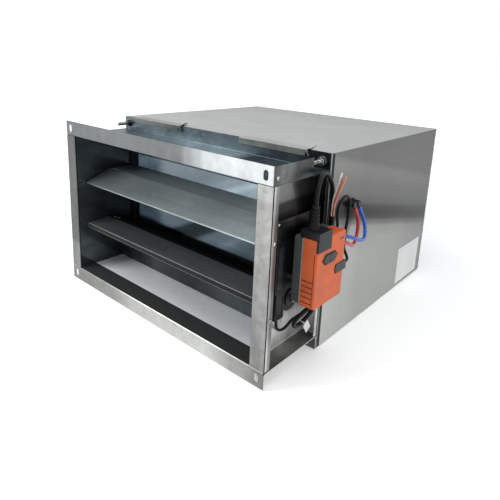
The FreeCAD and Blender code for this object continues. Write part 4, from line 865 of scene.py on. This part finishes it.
# Actuator
# A grey moulded base and a salmon-orange cover with eased edges, grip grooves at its lower front
# edge and a short dark plate in its face, painted shade where a slot is. The two pressure spigots
# stand out of its rear side.
orange_plastic = moulded("orange_plastic", (0.68, 0.122, 0.029), 0.50, grain=1400, relief=0.16)
cap_plastic = moulded("cap_plastic", (0.010, 0.011, 0.013), 0.34, specular=0.25)
groove_shade_plastic = moulded("groove_shade_plastic", (0.16, 0.018, 0.006), 0.6)
base_plastic = moulded("grey_base_plastic", (0.060, 0.066, 0.070), 0.55)
BASE_HIGHLIGHT_STRIP = 2.2 * MM
base_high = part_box("actuator_base")[1]
actuator_base = eased("actuator_base_shell", "actuator_base", 0.8 * MM)
score(actuator_base, (base_high.x - BASE_HIGHLIGHT_STRIP, 0, 0), ACROSS)
fit(actuator_base, base_plastic, "dark_plastic", "actuator_base")
# A light strip along the base's outer edge is a painted highlight.
coat_faces(actuator_base, moulded("base_edge_highlight_plastic", (0.30, 0.32, 0.32), 0.4),
           lambda centre, normal: centre.x > base_high.x - BASE_HIGHLIGHT_STRIP and normal.y < -0.3)
actuator_cover = eased("actuator_cover_shell", "actuator_cover", 0.5 * MM)
face_low, face_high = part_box("actuator_cover")
# The eased edges cross at two corners beside the grooves, which are drawn apart along the edge.
for place, lift in (((0, 0.477, 1.939), 0.9), ((-0.117, 0.148, 2.485), 0.4)):
    crossed = Vector((face_high.x, face_low.y, face_low.z)) + Vector(place) * MM
    pick(actuator_cover, corners=lambda corner: (corner - crossed).length < 0.05 * MM)
    bpy.ops.transform.translate(value=(0, 0, lift * MM))
    close()
fit(actuator_cover, orange_plastic, "orange_plastic", "actuator_cover")
GROOVE_DEPTHS = (0.6 * MM, 1.6 * MM)
GROOVE_HEAD = 14 * MM
# The grip grooves' floors and sides are coloured dark: painted shade in the grooves.
coat_faces(actuator_cover, groove_shade_plastic,
           lambda centre, normal: GROOVE_DEPTHS[0] < centre.y - face_low.y < GROOVE_DEPTHS[1]
           and (normal.y < -0.5 or abs(normal.z) > 0.8) and centre.z < face_high.z - GROOVE_HEAD)
# A dark plate set into the cover's face stands for the shade of a short slot: painted shade.
slot_shadow_plate = plate("slot_shadow_plate", (face_high.x - 0.6 * MM, base_high.y - 16.5 * MM, face_high.z - 13.1 * MM),
                  (face_high.x + 0.06 * MM, base_high.y - 5 * MM, face_high.z - 10.6 * MM), 0.6 * MM)
fit(slot_shadow_plate, cap_plastic, "dark_plastic")


# Terminal cap and strain relief
# The black cap over the terminals, which reaches down the front face, and the ribbed rubber
# relief that guides the supply cable out of it.
fit(eased("terminal_cap_shell", "terminal_cap", 0.6 * MM), cap_plastic, "dark_plastic", "terminal_cap")
RELIEF_BASE = 8.0
RELIEF_TIP = 6.0
RELIEF_HEIGHT = 38.0
relief_low, relief_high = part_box("strain_relief")
relief_rings = [(RELIEF_BASE, 0), (RELIEF_BASE - 0.2, 3), (RELIEF_BASE - 0.9, 13.6)]
for rib_z in (14.6, 20.3, 26.0, 31.7):
    rib_radius = RELIEF_BASE - (RELIEF_BASE - RELIEF_TIP) * rib_z / RELIEF_HEIGHT
    relief_rings += [(rib_radius - 1.6, rib_z), (rib_radius - 1.6, rib_z + 1.6),
                     (rib_radius - 0.2, rib_z + 2.2), (rib_radius - 0.3, rib_z + 5.2)]
relief_rings = [ring for ring in relief_rings if ring[1] < RELIEF_HEIGHT - 0.8]
relief_rings += [(RELIEF_TIP - 0.3, RELIEF_HEIGHT - 0.6), (RELIEF_TIP - 0.9, RELIEF_HEIGHT)]
relief_foot = Vector(((relief_low.x + relief_high.x) / 2, (relief_low.y + relief_high.y) / 2, relief_low.z))
relief = turned("ribbed_relief", relief_rings, relief_foot, UPWARD, 32)
fit(relief, rubber, "black_rubber", "strain_relief")


# Release button and tool plug
# A dark six-sided key in its frame on the actuator's face, split across its middle, and the
# dark plug of the tool cable at the cover's edge.
key_plastic = moulded("key_plastic", (0.024, 0.027, 0.030), 0.36, specular=0.3)
fit(eased("release_frame_rim", "release_frame", 0.3 * MM), cap_plastic, "dark_plastic", "release_frame")
key_low, key_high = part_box("release_button")
release_key = eased("release_key", "release_button", 0.5 * MM)
key_middle = (key_low.y + key_high.y) / 2
KEY_SPLIT = 1.0 * MM
cut(release_key, blank("split", (key_high.x - MM, key_middle - KEY_SPLIT / 2, key_low.z - MM),
                       (key_high.x + MM, key_middle + KEY_SPLIT / 2, key_high.z + MM)))
fit(release_key, key_plastic, "grey_plastic", "release_button", body="release_body")
fit(eased("tool_plug_body", "tool_plug", 0.6 * MM), key_plastic, "grey_plastic", "tool_plug")


# Silencer frames
# Pressed frames at both ends of the silencer, with lips at the sides that the wrap's side
# panels stand back from. The rear one has the same slotted corners as the inlet.
front_low, front_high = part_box("front_frame")
front_frame = blank("front_frame_sheet", front_low, front_high)
rear_frame = blank("rear_frame_sheet", *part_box("rear_frame"))
rear_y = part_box("rear_frame")[1].y
frame_zinc = zinc_coat("frame_zinc", (0.34, 0.355, 0.35), (0.22, 0.235, 0.23), 0.30)
corners = [Vector((side_x * bolt_x, 0, side_z * bolt_z)) for side_x in (-1, 1) for side_z in (-1, 1)]
for sheet, open_side, face_y, reach in ((front_frame, 1, front_low.y, 0),
                                        (rear_frame, -1, rear_y, SLOT_REACH)):
    remove_faces(sheet, lambda centre, normal: open_side * normal.y > 0.5 or abs(normal.z) > 0.5)
    fold(sheet, FOLD_RADIUS)
    cut(sheet, blank("duct_room", (-wall_low.x, -1, -top_low.z), (wall_low.x, 1, top_low.z)))
    for corner in corners:
        cut(sheet, round_tool(corner + Vector((0, face_y, 0)), SLOT_WIDTH, BACKWARD, reach))
fit(front_frame, frame_zinc, "galvanised_steel", "front_frame")
fit(rear_frame, frame_zinc, "galvanised_steel", "rear_frame")
# Painted shade on the frame's side lips, where the panels stand back, and on its edges round the duct opening.
coat_faces(front_frame, seam_shadow_zinc, lambda centre, normal: abs(normal.x) > 0.8
           and centre.y > front_low.y + FLANGE_BACK)
coat_faces(front_frame, seam_shadow_zinc, lambda centre, normal: abs(normal.y) < 0.5
           and abs(centre.x) < wall_low.x + MM)


# Silencer wrap and base
# The top and both sides are one zinc-coated sheet, folded round the frames, and a flat base of
# the same sheet closes it.
SIDE_FRONT = 163 * MM
SIDE_REAR = 623 * MM
wrap_low, wrap_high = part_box("silencer_wrap")
wrap = blank("silencer_wrap_sheet", wrap_low, wrap_high)
for side_y in (SIDE_FRONT, SIDE_REAR):
    score(wrap, (0, side_y, 0), BACKWARD)
remove_faces(wrap, lambda centre, normal: abs(normal.y) > 0.5 or normal.z < -0.5
             or (abs(normal.x) > 0.5 and not SIDE_FRONT < centre.y < SIDE_REAR))
fold(wrap, 2.2 * MM)
# The roof carries a painted ramp of light, darker towards the rear.
roof_zinc = zinc_coat("roof_zinc", (0.40, 0.42, 0.41), (0.33, 0.35, 0.34), 0.36, (BACKWARD, [
    (150, 1.0), (400, 0.88), (633, 0.70)]), stretch=(200, 3, 200), relief=0.03)
# The side panels carry a painted reflection: a dark band slanting along them between lighter bands, and
# painted shade towards the rear.
panel_zinc = zinc_coat("panel_zinc", (0.50, 0.51, 0.485), (0.47, 0.48, 0.455), 0.34, ((0, 0.227, 1), [
    (-150, 1.0), (20, 0.97), (60, 0.90), (86, 0.75), (97, 0.35), (108, 0.06), (118, 0.03), (128, 0.08),
    (140, 0.25), (157, 0.32), (203, 0.42), (220, 0.29), (320, 0.24)]), (BACKWARD, [
    (163, 1.0), (240, 0.88), (300, 0.76), (420, 0.70), (623, 0.50)]), stretch=(200, 3, 200),
    relief=0.02, waver=4)
fit(wrap, roof_zinc, "galvanised_steel", "silencer_wrap")
coat_faces(wrap, panel_zinc, lambda centre, normal: normal.x > 0.8)
dress(roof_zinc, "silencer_base")


# Liners and wool
# Four smooth inner sheets of steel carry the air past the mineral wool boards that fill the
# space up to the wrap.
# The liners' ramps are painted reflection and shade: near black at the foot, lighter by height; a near-black
# strip of painted shade at their front joint; near black low at the front.
liner_zinc = zinc_coat("liner_zinc", (0.60, 0.72, 0.80), (0.48, 0.59, 0.67), 0.10, (UPWARD, [
    (-150, 0.12), (-130, 0.14), (-112, 0.62), (-90, 0.62), (-62, 0.80), (-42, 0.50), (0, 0.34),
    (50, 0.36), (150, 0.50)]), (BACKWARD, [(150, 0.03), (162, 0.03), (167, 1.0), (633, 1.0)]),
    ((0, 0.62, 1), [(0, 0.04), (38, 0.04), (50, 1.0), (700, 1.0)]), stretch=(30, 4, 60), waver=4,
    specular=0.0, matt_shade=True)
dress(liner_zinc, "liner_top", "liner_left", "liner_right")
# The silencer's floor liner is near black at the front, in painted shade, and lighter towards the rear.
liner_floor_zinc = zinc_coat("liner_floor_zinc", (0.52, 0.60, 0.66), (0.42, 0.49, 0.54), 0.12, (BACKWARD, [
    (150, 0.03), (300, 0.04), (318, 0.36), (344, 0.50), (360, 0.42), (400, 0.46), (460, 1.0),
    (633, 1.0)]), stretch=(30, 4, 60), waver=2, specular=0.0, matt_shade=True)
dress(liner_floor_zinc, "liner_bottom")
wool = moulded("mineral_wool", (0.40, 0.34, 0.22), 0.95, grain=300, blotch=60, relief=0.8)
dress(wool, "wool_top", "wool_bottom", "wool_left", "wool_right")


# Bare label
# A blank white plastic plate stuck on the right side panel, near its lower rear corner.
label_front, label_back, label_foot, label_head = 487 * MM, 607 * MM, -172 * MM, -86 * MM
label = plate("side_label", (wrap_high.x - 0.2 * MM, label_front, label_foot),
              (wrap_high.x + 0.4 * MM, label_back, label_head), 2 * MM)
fit(label, moulded("label_white", (0.80, 0.80, 0.79), 0.5, blotch=5), "white_plastic")


# Sensing tubes and fittings
# Two aluminium tubes across the duct take the pressure before and behind, and end in black
# fittings on the right side, whose stubs the soft tubes are pushed over.
tube_metal = zinc_coat("tube_metal", (0.75, 0.76, 0.77), (0.60, 0.61, 0.62), 0.2)
dress(tube_metal, "sensor_tubes")
fit(eased("pressure_fittings", "sensor_fittings", 0.5 * MM), black_plastic, "black_plastic", "sensor_fittings")


# Cleats
# Folded steel clips driven over the two flanges at the joint, which they hold together, with
# tongues bent at the outer ends of the upper ones.
# The cleats' ramp across is painted light: darker towards the left end.
cleat_zinc = zinc_coat("cleat_zinc", (0.36, 0.38, 0.36), (0.22, 0.24, 0.23), 0.30, (ACROSS, [
    (-280, 0.40), (-100, 0.50), (0, 0.85), (280, 1.0)]), stretch=(8, 90, 90))
fit(eased("driven_cleats", "joint_cleats", 0.3 * MM), cleat_zinc, "galvanised_steel", "joint_cleats")


# Corner bolts
# Zinc-coated hexagon bolts through both flanges at the corners, with washers and nuts on the
# damper's side.
PITCH = 1.25
PLAIN_ENDS = 6
SPANNER_WIDTH = 13
HEX = SPANNER_WIDTH / math.sqrt(3)
WASHER = 1.6
shank_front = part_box("corner_bolts")[0].y
nut_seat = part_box("corner_nuts")[1].y
frame_back = front_low.y + SHEET
shank_length = (frame_back - shank_front) / MM
thread = [(3.2, 0)]
for turn in range(int((shank_length - PLAIN_ENDS) / PITCH)):
    thread += [(4.0, 0.5 + turn * PITCH), (3.45, 0.5 + (turn + 0.5) * PITCH)]
thread += [(4.0, shank_length - 5), (4.0, shank_length)]
bolt_zinc = zinc_coat("bolt_zinc", (0.34, 0.34, 0.33), (0.06, 0.06, 0.06), 0.24, crystal=700)
bolts = []
nuts = []
for corner in corners:
    bolts.append(turned("shank", thread, corner + Vector((0, shank_front, 0)), BACKWARD, 16))
    bolts.append(turned("hexagon", [(HEX - 0.1, 0), (HEX, 0.3), (HEX, 4.9), (HEX - 0.7, 5.5)],
                        corner + Vector((0, frame_back, 0)), BACKWARD, 6))
    nuts.append(turned("washer", [(8.1, 0), (8.5, 0.3), (8.5, 1.3), (8.1, WASHER)],
                       corner + Vector((0, nut_seat, 0)), (0, -1, 0), 32))
    nuts.append(turned("nut", [(HEX - 0.1, 0), (HEX, 0.3), (HEX, 5.8), (HEX - 0.7, 6.5)],
                       corner + Vector((0, nut_seat - WASHER * MM, 0)), (0, -1, 0), 6))
fit(join("hexagon_bolts", bolts), bolt_zinc, "zinc_fastener", "corner_bolts")
fit(join("hexagon_nuts", nuts), bolt_zinc, "zinc_fastener", "corner_nuts")


# Cable tag
# A bare white tag on a plastic tie round the lower loop of the supply cable.
TAG_TILT = math.radians(-32)
tag_plastic = moulded("tag_white", (0.80, 0.80, 0.78), 0.4)
tag = eased("bare_cable_tag", "cable_tag", 0.2 * MM)
tag_low, tag_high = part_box("cable_tag")
pick(tag, faces=lambda centre, normal: True)
bpy.ops.transform.rotate(value=TAG_TILT, orient_axis="X", center_override=(tag_low + tag_high) / 2)
close()
fit(tag, tag_plastic, "white_plastic", "cable_tag")
